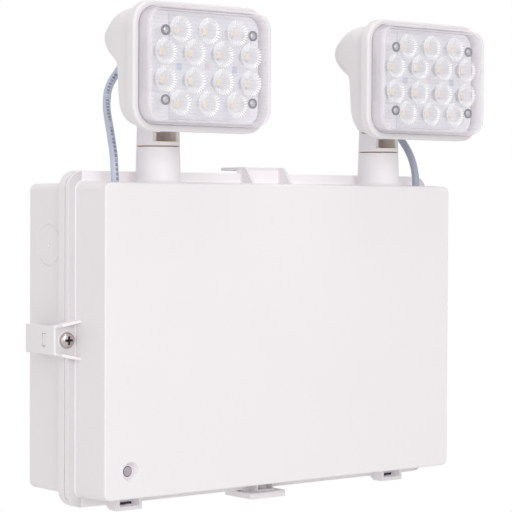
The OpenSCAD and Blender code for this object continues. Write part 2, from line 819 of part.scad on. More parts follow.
// Box lug under the cover's bottom edge
module corner_lug() {
  side_prism([[lug_floor_back, -flange_h / 2 + lug_t],
              [lug_floor_back, -corner_lug_z + corner_lug_chamfer_z],
              [lug_floor_back + corner_lug_chamfer_d, -corner_lug_z],
              [corner_lug_front, -corner_lug_z],
              [corner_lug_front, -cover_top(corner_lug_front) + wall / 2],
              [flange_front - lap, -cover_top(flange_front) + wall / 2]], corner_lug_half);
}

// Pocket of a box lug, with a sink in its floor behind the front lip
module corner_pocket() {
  block(-slot_x_half(), slot_x_half(), flange_front, corner_lug_front + cut,
        corner_pocket_floor(), -cover_top(flange_front) - corner_pocket_top);
  block(-slot_x_half(), -slot_x_half() + corner_sink_l, flange_front,
        corner_lug_front - corner_sink_lip, corner_pocket_floor() - corner_sink_t,
        corner_pocket_floor() + cut);
}

module cover_screws() {
  color(steel) for (s = [-1, 1])
    translate([s * cover_screw_x, 0, 0])
      pan_screw(cover_screw_r, cover_screw_head_r, cover_screw_head_t, cover_screw_l,
                flange_front + screw_boss_t);
}

module status_lamp() {
  dome_d = cover_front - status_recess + status_dome_rise;
  color(clear) translate([-status_x, 0, -status_z]) {
    bar(status_r, status_body_back - lap, dome_d);
    translate([0, -dome_d, 0]) rotate([90, 0, 0]) intersection() {
      sphere(r = status_r);
      cylinder(r = status_r, h = status_r);
    }
    bar(status_flange_r, status_body_back - status_flange_t, status_body_back);
    for (s = [-1, 1])
      translate([s * status_lead_x, 0, 0])
        bar(status_lead_r, status_body_back - status_flange_t - status_lead_l,
            status_body_back - status_flange_t + lap);
  }
}

module status_lamp_holder() {
  seat = status_body_back - status_flange_t;
  color(black_plastic) translate([-status_x, 0, -status_z]) difference() {
    bar(status_holder_r, status_boss_back - status_holder_l, status_boss_back);
    bar(status_flange_r, seat, status_boss_back + cut);
    for (s = [-1, 1])
      translate([s * status_lead_x, 0, 0])
        bar(2 * status_lead_r, status_boss_back - status_holder_l - cut, seat + cut);
  }
}

module battery_tray() {
  tray_back = wall;
  color(black_plastic) {
    block(-tray_w / 2, tray_w / 2, tray_back, tray_back + tray_t, tray_floor_z,
          tray_floor_z + tray_back_h);
    block(-tray_w / 2, tray_w / 2, tray_back, tray_back + tray_wall_l, tray_floor_z,
          tray_floor_z + tray_t);
    for (s = [-1, 1]) scale([s, 1, 1])
      block(tray_w / 2 - tray_t, tray_w / 2, tray_back, tray_back + tray_wall_l, tray_floor_z,
            tray_floor_z + tray_back_h);
    for (s = [-1, 1]) scale([s, 1, 1])
      block(tray_w / 2 - tray_t, tray_w / 2, tray_back, tray_back + tray_t,
            tray_floor_z - tray_lift, tray_floor_z + lap);
  }
}

module battery_cells() {
  color(cell_blue) for (i = [0 : cell_count - 1])
    translate([(i - (cell_count - 1) / 2) * cell_pitch, -cell_d, cell_bottom_z]) {
      cylinder(r = cell_r, h = cell_l - cell_cap_t);
      cylinder(r = cell_cap_r, h = cell_l);
    }
}

module battery_strap() {
  color(black_plastic) {
    block(-tray_w / 2 - strap_t, tray_w / 2 + strap_t, strap_front - strap_t, strap_front,
          strap_z - strap_w / 2, strap_z + strap_w / 2);
    for (s = [-1, 1]) scale([s, 1, 1])
      block(tray_w / 2, tray_w / 2 + strap_t, wall, strap_front,
            strap_z - strap_w / 2, strap_z + strap_w / 2);
  }
}

module charger_board() {
  color(board_green) translate([0, 0, board_z]) difference() {
    slab(board_w, board_h, board_corner, board_back, board_front);
    for (sx = [-1, 1], sz = [-1, 1])
      translate([sx * standoff_x, 0, sz * standoff_z])
        bar(charger_screw_r + thread_bite, board_back - cut, board_front + cut);
  }
}

module charger_board_screws() {
  color(steel) for (sx = [-1, 1], sz = [-1, 1])
    translate([sx * standoff_x, 0, board_z + sz * standoff_z])
      pan_screw(charger_screw_r, charger_screw_head_r, charger_screw_head_t, charger_screw_l, board_front);
}

module transformer() {
  color(metal) translate([transformer_x, 0, board_z]) {
    slab(transformer_w, transformer_h, board_corner, board_front, board_front + transformer_t);
    slab(winding_w, transformer_h + 2 * winding_over, board_corner,
         board_front + winding_over, board_front + transformer_t - winding_over);
  }
}

module relay() {
  color(black_plastic) translate([relay_x, 0, board_z])
    slab(relay_w, relay_h, board_corner, board_front, board_front + relay_t);
}

module capacitors() {
  color(black_plastic) for (i = [0 : capacitor_count - 1])
    translate([capacitor_x + (i - (capacitor_count - 1) / 2) * capacitor_pitch, 0,
               board_z + capacitor_z])
      bar(capacitor_r, board_front, board_front + capacitor_l);
}

module terminal_block() {
  color(board_green) translate([terminal_x, 0, board_z + terminal_z]) difference() {
    block(-terminal_w / 2, terminal_w / 2, board_front, board_front + terminal_t,
          -terminal_h / 2, terminal_h / 2);
    for (i = [0 : terminal_count - 1])
      translate([(i - (terminal_count - 1) / 2) * terminal_pitch, 0, 0]) {
        bar(terminal_screw_r + thread_bite, board_front + terminal_t - terminal_screw_l,
            board_front + terminal_t + cut);
        translate([0, -(board_front + terminal_wire_r + board_t), -terminal_h / 2 - cut])
          cylinder(r = terminal_wire_r, h = terminal_h / 2);
      }
  }
}

module terminal_screws() {
  seat = board_front + terminal_t - terminal_screw_l;
  color(steel) translate([terminal_x, 0, board_z + terminal_z])
    for (i = [0 : terminal_count - 1])
      translate([(i - (terminal_count - 1) / 2) * terminal_pitch, 0, 0]) difference() {
        bar(terminal_screw_r, seat, board_front + terminal_t - cut);
        block(-terminal_screw_r, terminal_screw_r, board_front + terminal_t - 2 * cut,
              board_front + terminal_t, -thread_bite, thread_bite);
      }
}

// Places a lamp's pieces on one side, with outward pointing away from the middle
module on_side(side) {
  translate([side * post_x, 0, 0]) scale([side, 1, 1]) children();
}

module cable_bush(side) {
  color(dark_rubber) on_side(side) translate([cable_hole_x, -cable_hole_d, cable_boss_z - cable_bush_t])
    cylinder(r = cable_bush_r, h = cable_bush_t);
}

module yoke(side) {
  color(white) on_side(side) translate([0, -post_d, 0]) difference() {
    union() {
      intersection() {
        translate([0, 0, yoke_bottom_z])
          cylinder(r1 = post_top_r, r2 = yoke_top_r, h = yoke_top_z - yoke_bottom_z);
        union() {
          translate([0, 0, yoke_bottom_z]) cylinder(r = post_foot_r, h = yoke_foot_t);
          translate([-post_foot_r, -ear_r, yoke_bottom_z])
            cube([2 * post_foot_r, 2 * ear_r, tilt_z - yoke_bottom_z]);
          translate([-post_foot_r, 0, tilt_z]) rotate([0, 90, 0])
            cylinder(r = ear_r, h = 2 * post_foot_r);
        }
      }
      translate([0, 0, spigot_bottom_z]) cylinder(r = spigot_r, h = yoke_bottom_z - spigot_bottom_z + lap);
    }
    difference() {
      translate([-ear_gap, -post_foot_r, yoke_slot_z])
        cube([2 * ear_gap, 2 * post_foot_r, yoke_top_z - yoke_slot_z + cut]);
      translate([-ear_gap, ear_r - yoke_web_t, yoke_slot_z])
        cube([2 * ear_gap, yoke_web_t + cut, yoke_web_h]);
    }
    translate([-post_foot_r, 0, tilt_z]) rotate([0, 90, 0])
      cylinder(r = tilt_hole_r, h = 2 * post_foot_r);
    for (s = [0, 180])
      rotate([0, 0, s]) translate([ear_seat_x, 0, tilt_z]) rotate([0, 90, 0])
        cylinder(r = ear_seat_r, h = post_foot_r - ear_seat_x + cut);
    translate([0, 0, spigot_bottom_z - cut])
      cylinder(r = swivel_screw_r - thread_bite, h = swivel_screw_l + cut);
  }
}

module swivel_washer(side) {
  color(steel) on_side(side) translate([0, -post_d, swivel_washer_z]) difference() {
    cylinder(r = swivel_washer_r, h = swivel_washer_t);
    translate([0, 0, -cut]) cylinder(r = swivel_screw_r + thread_bite, h = swivel_washer_t + 2 * cut);
  }
}

module swivel_screw(side) {
  color(steel) on_side(side) translate([0, -post_d, swivel_washer_z])
    rotate([90, 0, 0])
      pan_screw(swivel_screw_r, swivel_screw_head_r, swivel_screw_head_t, swivel_screw_l, 0);
}

module tilt_bolt(side) {
  color(steel) on_side(side) translate([0, -post_d, tilt_z]) rotate([0, 90, 0]) {
    translate([0, 0, -ear_seat_x - tilt_nut_t + lap])
      cylinder(r = tilt_bolt_r, h = 2 * ear_seat_x + tilt_nut_t);
    translate([0, 0, ear_seat_x]) difference() {
      cylinder(r1 = tilt_head_r, r2 = tilt_head_top_r, h = tilt_head_t);
      translate([0, 0, tilt_head_t - tilt_socket_t])
        cylinder(r = tilt_socket_r, h = tilt_head_t, $fn = nut_sides);
    }
  }
}

module tilt_nut(side) {
  color(steel) on_side(side) translate([-ear_seat_x - tilt_nut_t, -post_d, tilt_z]) rotate([0, 90, 0])
    difference() {
      cylinder(r = tilt_nut_r, h = tilt_nut_t, $fn = nut_sides);
      translate([0, 0, -cut]) cylinder(r = tilt_bolt_r - thread_bite / 2, h = tilt_nut_t + 2 * cut);
    }
}

// One ring of a rounded rectangle at a depth, from low and high edges and two corner radii
function shell_ring(depth, half_w, z0, z1, low_r, high_r) = [
  for (corner = [0 : 3], i = [0 : corner_steps])
    let (
      r = corner < 2 ? high_r : low_r,
      sx = (corner == 0 || corner == 3) ? 1 : -1,
      a = 90 * (corner + i / corner_steps),
      cz = corner < 2 ? z1 - r : z0 + r
    )
    [sx * (half_w - r) + r * cos(a), -depth, cz + r * sin(a)]
];

// Solid through a list of rings that all have the same number of points
module loft(rings) {
  n = len(rings[0]);
  m = len(rings);
  polyhedron(
    points = [for (ring = rings) each ring],
    faces = concat(
      [for (k = [0 : m - 2], i = [0 : n - 1])
        each [[k * n + i, k * n + (i + 1) % n, (k + 1) * n + i],
              [k * n + (i + 1) % n, (k + 1) * n + (i + 1) % n, (k + 1) * n + i]]],
      [[for (i = [n - 1 : -1 : 0]) i]],
      [[for (i = [0 : n - 1]) (m - 1) * n + i]]
    )
  );
}

// Housing shell, or its cavity when inset by a wall, from a front depth to the rear face
module shell_form(inset, front) {
  low = head_z - shell_h / 2;
  loft([for (s = shell_stations_shares)
    let (
      z0 = low + s[1] * shell_h + inset,
      z1 = low + s[2] * shell_h - inset,
      r_most = (z1 - z0) / 2 - lap,
      d = s[0] == 0 ? front : shell_depth(s[0]) + inset
    )
    if (z1 - z0 > least_ring_h)
      shell_ring(d, s[3] * shell_w / 2 - inset, z0, z1, min(s[4] * shell_h, r_most),
                 min(s[5] * shell_h, r_most))]);
}

// Depth of the place at a share of the shell's length, from the rim to the rear face
function shell_depth(share) = rim_back - share * (rim_back - shell_back);

module head_housing(side) {
  color(white) on_side(side) difference() {
    union() {
      difference() {
        union() {
          shell_form(0, rim_back + lap);
          translate([0, 0, head_z]) slab(rim_w, rim_h, rim_corner, rim_back, rim_front);
        }
        shell_form(shell_t, rim_front + cut);
      }
      translate([0, -post_d, tilt_z]) knuckle();
      translate([gland_x, 0, gland_z]) bar(gland_boss_r, shell_back, shell_back + gland_boss_l);
      intersection() {
        shell_form(lap, heat_plate_back);
        board_posts();
      }
    }
    translate([-knuckle_half - cut, -post_d, tilt_z]) rotate([0, 90, 0])
      cylinder(r = tilt_hole_r, h = 2 * knuckle_half + 2 * cut);
    translate([gland_x, 0, gland_z])
      bar(gland_body_r + fit_gap, shell_back - cut, shell_back + gland_boss_l + cut);
    for (sx = [-1, 1], sz = [-1, 1])
      translate([sx * board_screw_x, 0, head_z + sz * board_screw_z])
        bar(board_screw_r - thread_bite / 2, heat_plate_back - board_screw_l, heat_plate_back + cut);
  }
}

// Round knuckle with the arm that joins it to the housing
module knuckle() {
  arm_end = shell_depth(knuckle_arm_share) - post_d;
  translate([-knuckle_half, 0, 0]) rotate([0, 90, 0]) cylinder(r = knuckle_r, h = 2 * knuckle_half);
  translate([-knuckle_half, -arm_end, -knuckle_arm_h / 2])
    cube([2 * knuckle_half, arm_end, knuckle_arm_h]);
}

// Four posts that carry the heat plate
module board_posts() {
  for (sx = [-1, 1], sz = [-1, 1])
    translate([sx * board_screw_x, 0, head_z + sz * board_screw_z])
      bar(post_r, shell_back, heat_plate_back);
}

module head_gasket(side) {
  color(dark_rubber) on_side(side) translate([0, 0, head_z])
    frame(rim_w - 2 * lap, rim_h - 2 * lap, rim_corner - lap, head_gasket_strip, rim_front, lens_flange_back);
}

module head_bezel(side) {
  color(white) on_side(side) translate([0, 0, head_z]) difference() {
    slab(bezel_w, bezel_h, bezel_corner, bezel_back, bezel_front);
    slab(rim_w + 2 * bezel_play, rim_h + 2 * bezel_play, rim_corner + bezel_play,
         bezel_back - cut, lens_flange_front);
    slab(lens_w + 2 * bezel_lens_play, lens_h + 2 * bezel_lens_play, lens_corner + bezel_lens_play,
         lens_flange_front - cut, bezel_front + cut);
  }
}

module head_lens(side) {
  color(clear) on_side(side) translate([0, 0, head_z]) difference() {
    union() {
      slab(lens_w, lens_h, lens_corner, lens_flange_back, lens_front);
      slab(rim_w, rim_h, rim_corner, lens_flange_back, lens_flange_front);
    }
    slab(lens_w - 2 * lens_t, lens_h - 2 * lens_t, lens_corner - lens_t, lens_flange_back - cut,
         lens_front - lens_t);
  }
}

module board_holes() {
  for (sx = [-1, 1], sz = [-1, 1])
    translate([sx * board_screw_x, 0, sz * board_screw_z])
      bar(board_screw_hole_r, heat_plate_back - cut, led_board_front + cut);
}

module heat_plate(side) {
  color(metal) on_side(side) translate([0, 0, head_z]) difference() {
    slab(led_board_w, led_board_h, led_board_corner, heat_plate_back, led_board_back);
    board_holes();
  }
}

module led_board(side) {
  color(board_white) on_side(side) translate([0, 0, head_z]) difference() {
    slab(led_board_w, led_board_h, led_board_corner, led_board_back, led_board_front);
    for (sx = [-1, 1], sz = [-1, 1])
      translate([sx * (led_board_w - notch_w) / 2, 0, sz * (led_board_h - notch_h) / 2])
        block(-notch_w / 2 - (sx < 0 ? cut : 0), notch_w / 2 + (sx > 0 ? cut : 0),
              led_board_back - cut, led_board_front + cut,
              -notch_h / 2 - (sz < 0 ? cut : 0), notch_h / 2 + (sz > 0 ? cut : 0));
  }
}

// Puts its child at each light point: rows of three, four, four and three
module at_leds() {
  rows = [[led_row_2, led_columns - 1], [led_row_1, led_columns],
          [-led_row_1, led_columns], [-led_row_2, led_columns - 1]];
  for (row = rows, i = [0 : row[1] - 1])
    translate([(i - (row[1] - 1) / 2) * led_pitch, 0, row[0]]) children();
}

module led_chips(side) {
  color(chip_yellow) on_side(side) translate([0, 0, head_z]) at_leds()
    block(-chip_w / 2, chip_w / 2, led_board_front, led_board_front + chip_t, -chip_h / 2, chip_h / 2);
}

module collimators(side) {
  color(clear) on_side(side) translate([0, 0, head_z]) at_leds() difference() {
    translate([0, -led_board_front, 0]) rotate([90, 0, 0])
      cylinder(r1 = optic_foot_r, r2 = optic_r, h = optic_l);
    bar(chip_pocket_r, led_board_front - cut, led_board_front + chip_pocket_t);
  }
}

module board_screws(side) {
  color(steel) on_side(side) for (sx = [-1, 1], sz = [-1, 1])
    translate([sx * board_screw_x, 0, head_z + sz * board_screw_z])
      pan_screw(board_screw_r, board_screw_head_r, board_screw_head_t, board_screw_l, led_board_back);
}

module cable_gland(side) {
  color(dark_rubber) on_side(side) translate([gland_x, 0, gland_z]) {
    bar(gland_nose_r, shell_back - gland_flange_t - gland_nose_l, shell_back - gland_flange_t + lap);
    bar(gland_flange_r, shell_back - gland_flange_t, shell_back);
    bar(gland_body_r, shell_back - lap, shell_back + gland_body_l);
  }
}

function unit(v) = v / norm(v);
function cable_point(i) = [cable_route[i][0], -cable_route[i][1], cable_route[i][2]];
// Direction of the cable at a route point: square to its seats at both ends
function cable_direction(i) =
  i == 0 ? [0, 0, 1]
  : i == len(cable_route) - 1 ? [0, -1, 0]
  : unit(cable_point(i + 1) - cable_point(i - 1));
function cable_ring(i) =
  let (t = cable_direction(i), u = unit(cross(t, [1, 0, 0])), v = cross(t, u))
  [for (k = [0 : cable_sides - 1])
    cable_point(i) + cable_r * (u * cos(360 * k / cable_sides) + v * sin(360 * k / cable_sides))];

module cable_piece(side, first, last) {
  color(pale_grey) on_side(side) loft([for (i = [last : -1 : first]) cable_ring(i)]);
}

back_box();
perimeter_gasket();
front_cover();
cover_screws();
status_lamp();
status_lamp_holder();
battery_tray();
battery_cells();
battery_strap();
charger_board();
charger_board_screws();
transformer();
relay();
capacitors();
terminal_block();
terminal_screws();
cable_bush(-1);  // left_cable_bush
yoke(-1);  // left_yoke
swivel_washer(-1);  // left_swivel_washer
swivel_screw(-1);  // left_swivel_screw
tilt_bolt(-1);  // left_tilt_bolt
tilt_nut(-1);  // left_tilt_nut
head_housing(-1);  // left_head_housing
head_gasket(-1);  // left_head_gasket
head_bezel(-1);  // left_head_bezel
head_lens(-1);  // left_head_lens
heat_plate(-1);  // left_heat_plate
led_board(-1);  // left_led_board
led_chips(-1);  // left_led_chips
collimators(-1);  // left_collimators
board_screws(-1);  // left_board_screws
cable_gland(-1);  // left_cable_gland
cable_piece(-1, 0, cable_split);  // left_cable_lower
cable_piece(-1, cable_split, len(cable_route) - 1);  // left_cable_upper
cable_bush(1);  // right_cable_bush
yoke(1);  // right_yoke
swivel_washer(1);  // right_swivel_washer
swivel_screw(1);  // right_swivel_screw
tilt_bolt(1);  // right_tilt_bolt
tilt_nut(1);  // right_tilt_nut
head_housing(1);  // right_head_housing
head_gasket(1);  // right_head_gasket
head_bezel(1);  // right_head_bezel
head_lens(1);  // right_head_lens
heat_plate(1);  // right_heat_plate
led_board(1);  // right_led_board
led_chips(1);  // right_led_chips
collimators(1);  // right_collimators
board_screws(1);  // right_board_screws
cable_gland(1);  // right_cable_gland
cable_piece(1, 0, cable_split);  // right_cable_lower
cable_piece(1, cable_split, len(cable_route) - 1);  // right_cable_upper
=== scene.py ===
"""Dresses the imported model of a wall-mounted emergency twin spotlight for rendering.

Lengths are written in millimetres and turned into metres when a mesh is made. X points to the
viewer's right, Z up, and the front faces -Y. A depth is a distance from the wall, so a depth of d
is the plane y = -d.
"""
import logging
import math
from dataclasses import asdict, dataclass, field
from enum import Enum
from functools import reduce
from typing import Iterable, Sequence, TypeVar

import bmesh
import bpy
from mathutils import Matrix, Vector


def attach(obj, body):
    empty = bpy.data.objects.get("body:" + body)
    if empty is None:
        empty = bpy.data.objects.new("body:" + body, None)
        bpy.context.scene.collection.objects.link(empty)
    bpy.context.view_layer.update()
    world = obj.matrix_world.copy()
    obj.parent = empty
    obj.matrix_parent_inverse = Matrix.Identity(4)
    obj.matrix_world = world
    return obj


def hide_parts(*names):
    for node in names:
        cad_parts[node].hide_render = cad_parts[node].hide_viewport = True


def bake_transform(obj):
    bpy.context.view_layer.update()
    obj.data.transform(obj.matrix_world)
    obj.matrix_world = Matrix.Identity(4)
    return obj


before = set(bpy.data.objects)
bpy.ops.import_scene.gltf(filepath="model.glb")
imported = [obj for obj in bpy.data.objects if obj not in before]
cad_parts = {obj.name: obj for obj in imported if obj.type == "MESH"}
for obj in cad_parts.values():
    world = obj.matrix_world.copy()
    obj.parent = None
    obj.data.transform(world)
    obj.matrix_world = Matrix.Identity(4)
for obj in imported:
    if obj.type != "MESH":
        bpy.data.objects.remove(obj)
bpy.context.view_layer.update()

MM = 0.001
LOG = logging.getLogger("twin_spotlight")
Point = tuple[float, float, float]
Flat = tuple[float, float]
Colour = tuple[float, float, float]
Value = TypeVar("Value", float, Vector)
Thing = bpy.types.Object
Node = bpy.types.Node
Socket = bpy.types.NodeSocket

# Places that several classes share, in millimetres: the posts' distance from the middle, and the
# gland's place outward from its post and in height
POST_X = 77.0
GLAND = (3.0, 151.0)
ORIGIN = (0.0, 0.0, 0.0)


class Side(Enum):
    """The two lamps, by the sign of their place along X."""

    LEFT = -1
    RIGHT = 1

    @property
    def word(self) -> str:
        """The prefix of this side's nodes and bodies."""
        return self.name.lower()


class Axis(Enum):
    """The direction in which a flat outline is pushed into a prism."""

    ACROSS = "x"
    DEEP = "y"
    UP = "z"


# ---------------------------------------------------------------- mesh tools


def place(outline_point: Flat, level: float, axis: Axis) -> Vector:
    """Put one outline point into space.

    Args:
        outline_point: (depth, z) across, (x, z) deep, or (x, depth) up, in millimetres.
        level: the place along the axis; a depth when the axis is DEEP.
        axis: the direction of the prism.

    Returns:
        The point in metres.
    """
    a, b = outline_point
    if axis is Axis.ACROSS:
        return Vector((level, -a, b)) * MM
    if axis is Axis.DEEP:
        return Vector((a, -level, b)) * MM
    return Vector((a, -b, level)) * MM


def rounded_outline(half_w: float, half_h: float, radius: float, steps: int = 10,
                    centre: Flat = (0.0, 0.0)) -> list[Flat]:
    """Outline of a rounded rectangle, counterclockwise, as flat points.

    Args:
        half_w: half the width.
        half_h: half the height.
        radius: corner radius.
        steps: straight pieces in each corner.
        centre: the middle of the rectangle.

    Returns:
        Points that start at the right side's upper end.
    """
    radius = min(radius, half_w - 0.01, half_h - 0.01)
    points = []
    for corner, (sx, sz) in enumerate(((1, 1), (-1, 1), (-1, -1), (1, -1))):
        for i in range(steps + 1):
            angle = math.radians(90 * corner + 90 * i / steps)
            points.append((centre[0] + sx * (half_w - radius) + radius * math.cos(angle),
                           centre[1] + sz * (half_h - radius) + radius * math.sin(angle)))
    return points


def quarter(steps: int) -> list[Flat]:
    """Cosine and sine at even steps over a quarter turn."""
    return [(math.cos(math.pi / 2 * i / steps), math.sin(math.pi / 2 * i / steps)) for i in range(steps + 1)]


def hermite(t: float, a: Value, slope_a: Value, b: Value, slope_b: Value) -> Value:
    """Go from one value to the next on a smooth curve.

    Args:
        t: share of the way, from nought to one.
        a: the first number or point.
        slope_a: its change over the whole way there.
        b: the next number or point.
        slope_b: its change over the whole way there.

    Returns:
        The number or point at that share.
    """
    h = (2 * t ** 3 - 3 * t ** 2 + 1, t ** 3 - 2 * t ** 2 + t, -2 * t ** 3 + 3 * t ** 2, t ** 3 - t ** 2)
    return h[0] * a + h[1] * slope_a + h[2] * b + h[3] * slope_b


@dataclass(frozen=True)
class Rim:
    """A rounded rectangle parallel to the wall, which can be drawn in and moved in depth."""

    half: Flat
    corner: float
    centre: Flat = (0.0, 0.0)
    steps: int = 10
    least: float = 0.2

    def rings(self, *spots: Flat) -> list[list[Vector]]:
        """Lay it out at several depths.

        Args:
            spots: pairs of a depth and an inset.

        Returns:
            A ring of points in metres for each pair.
        """
        rings = []
        for depth, inset in spots:
            outline = rounded_outline(self.half[0] - inset, self.half[1] - inset,
                                      max(self.corner - inset, self.least), self.steps, self.centre)
            rings.append([place(p, depth, Axis.DEEP) for p in outline])
        return rings


def link_in(name: str, data: bpy.types.ID) -> Thing:
    """Make an object from its data and link it to the scene.

    Args:
        name: the object's name.
        data: its mesh, camera or lamp.

    Returns:
        The new object.
    """
    thing = bpy.data.objects.new(name, data)
    bpy.context.scene.collection.objects.link(thing)
    return thing


def skin(part: bmesh.types.BMesh, rings: Sequence[Sequence[Vector]], closed: bool = False) -> None:
    """Join rings with equal numbers of points by faces.

    Args:
        part: the mesh that takes the faces.
        rings: the rings, in metres.
        closed: join the last ring to the first, for a hollow frame; otherwise both ends are capped.
    """
    layers = [[part.verts.new(p) for p in ring] for ring in rings]
    n = len(layers[0])
    pairs = list(zip(layers, layers[1:]))
    if closed:
        pairs.append((layers[-1], layers[0]))
    for low, high in pairs:
        for i in range(n):
            j = (i + 1) % n
            part.faces.new((low[i], low[j], high[j], high[i]))
    if not closed:
        part.faces.new(list(reversed(layers[0])))
        part.faces.new(layers[-1])


def outward(thing: Thing, mirror_y: float | None = None) -> Thing:
    """Make an object's faces point outwards, after mirroring it in a plane where one is given.

    Args:
        thing: the object, whose mesh is changed.
        mirror_y: the plane's place along Y in metres, or None.

    Returns:
        The same object.
    """
    bm = bmesh.new()
    bm.from_mesh(thing.data)
    if mirror_y is not None:
        for vert in bm.verts:
            vert.co.y = 2 * mirror_y - vert.co.y
    bmesh.ops.recalc_face_normals(bm, faces=bm.faces)
    bm.to_mesh(thing.data)
    bm.free()
    return thing


@dataclass
class MeshDraft:
    """Collects closed shells and turns them into one object."""

    name: str
    bm: bmesh.types.BMesh = field(default_factory=bmesh.new)

    def loft(self, rings: Sequence[Sequence[Vector]], closed: bool = False) -> "MeshDraft":
        """Skin a list of rings, in metres.

        Args:
            rings: the rings, with equal numbers of points.
            closed: make a hollow frame; otherwise both ends are capped.

        Returns:
            This draft.
        """
        part = bmesh.new()
        skin(part, rings, closed)
        return self.take(part)

    def prism(self, outline: Sequence[Flat], axis: Axis, low: float, high: float,
              edge: float = 0.3) -> "MeshDraft":
        """Push a flat outline along an axis and round all its edges a little.

        Args:
            outline: flat points, as place() takes them.
            axis: the direction of the push.
            low: where it starts along the axis.
            high: where it ends.
            edge: width of the rounded edges; nought leaves them sharp.

        Returns:
            This draft.
        """
        part = bmesh.new()
        skin(part, [[place(p, level, axis) for p in outline] for level in (low, high)])
        bmesh.ops.recalc_face_normals(part, faces=part.faces)
        if edge > 0:
            sharp = [e for e in part.edges if e.calc_face_angle(0.0) > math.radians(25)]
            bmesh.ops.bevel(part, geom=sharp, offset=edge * MM, segments=3, profile=0.5,
                            affect="EDGES", clamp_overlap=True)
        return self.take(part)

    def block(self, x: Flat, depth: Flat, z: Flat, edge: float = 0.3) -> "MeshDraft":
        """A box between two places along each direction."""
        return self.prism([(x[0], z[0]), (x[1], z[0]), (x[1], z[1]), (x[0], z[1])], Axis.DEEP,
                          depth[0], depth[1], edge)

    def revolve(self, profile: Sequence[Flat], origin: Point, axis: Axis, steps: int = 64) -> "MeshDraft":
        """Turn a profile of (radius, place along the axis) round an axis.

        Args:
            profile: radius and place; a radius of zero closes an end, and a profile that ends
                where it starts makes a ring.
            origin: (x, depth, z) of the axis' zero.
            axis: the direction of turning; places run towards +X, towards the front, or up.
            steps: points round the axis.

        Returns:
            This draft.
        """
        part = bmesh.new()
        ox, od, oz = origin
        ring_shaped = profile[0] == profile[-1]
        rings = []
        for radius, along in profile[:-1] if ring_shaped else profile:
            ring = []
            for i in range(1 if radius <= 1e-6 else steps):
                angle = 2 * math.pi * i / steps
                u, v = radius * math.cos(angle), radius * math.sin(angle)
                spot = {Axis.ACROSS: (ox + along, -(od + u), oz + v),
                        Axis.DEEP: (ox + u, -(od + along), oz + v),
                        Axis.UP: (ox + u, -(od + v), oz + along)}[axis]
                ring.append(part.verts.new(Vector(spot) * MM))
            rings.append(ring)
        pairs = list(zip(rings, rings[1:]))
        if ring_shaped:
            pairs.append((rings[-1], rings[0]))
        for low, high in pairs:
            for i in range(steps):
                j = (i + 1) % steps
                corners = [low[i % len(low)], low[j % len(low)], high[j % len(high)], high[i % len(high)]]
                unique = list(dict.fromkeys(corners))
                if len(unique) > 2:
                    part.faces.new(unique)
        for ring in () if ring_shaped else (rings[0], rings[-1]):
            if len(ring) > 1:
                part.faces.new(ring)
        return self.take(part)

    def take(self, part: bmesh.types.BMesh) -> "MeshDraft":
        """Add a finished closed shell, with its faces turned outwards.

        Args:
            part: the shell, which is freed.

        Returns:
            This draft.
        """
        bmesh.ops.recalc_face_normals(part, faces=part.faces)
        mesh = bpy.data.meshes.new("shell")
        part.to_mesh(mesh)
        part.free()
        self.bm.from_mesh(mesh)
        bpy.data.meshes.remove(mesh)
        return self

    def object(self) -> Thing:
        """Make the object and link it to the scene.

        Returns:
            The new object.
        """
        mesh = bpy.data.meshes.new(self.name)
        self.bm.to_mesh(mesh)
        self.bm.free()
        return link_in(self.name, mesh)

    def piece(self, finish: "Finish", body: str, slot: str, stands_for: Iterable[str] = ()) -> Thing:
        """Make the object, shade it smooth and dress it; see soften() and dress()."""
        return dress(soften(self.object()), finish, body, stands_for)


def bake(thing: Thing) -> Thing:
    """Turn an object's modifiers into its plain mesh.

    Args:
        thing: the object with live modifiers.

    Returns:
        The same object, without modifiers.
    """
    bpy.context.view_layer.update()
    evaluated = thing.evaluated_get(bpy.context.evaluated_depsgraph_get())
    mesh = bpy.data.meshes.new_from_object(evaluated)
    thing.modifiers.clear()
    old = thing.data
    thing.data = mesh
    mesh.name = thing.name
    if old.users == 0:
        bpy.data.meshes.remove(old)
    return thing


def boolean(thing: Thing, tool: Thing, how: str = "DIFFERENCE") -> Thing:
    """Cut or join one object with another, and delete the tool.

    Args:
        thing: the object that is changed.
        tool: the object that cuts or joins it.
        how: the Boolean modifier's operation.

    Returns:
        The changed object.
    """
    step = thing.modifiers.new("boolean", "BOOLEAN")
    step.operation = how
    step.solver = "EXACT"
    step.use_self = True
    step.object = tool
    bake(thing)
    bpy.data.objects.remove(tool, do_unlink=True)
    return thing


def soften(thing: Thing, angle: float = 32.0) -> Thing:
    """Shade an object smooth, with creases above an angle and flat faces kept flat.

    Args:
        thing: the object.
        angle: edges sharper than this many degrees stay creased.

    Returns:
        The same object.
    """
    mesh = thing.data
    mesh.polygons.foreach_set("use_smooth", [True] * len(mesh.polygons))
    mesh.set_sharp_from_angle(angle=math.radians(angle))
    weigh = thing.modifiers.new("flat faces", "WEIGHTED_NORMAL")
    weigh.mode = "FACE_AREA_WITH_ANGLE"
    weigh.weight = 80
    weigh.keep_sharp = True
    return bake(thing)


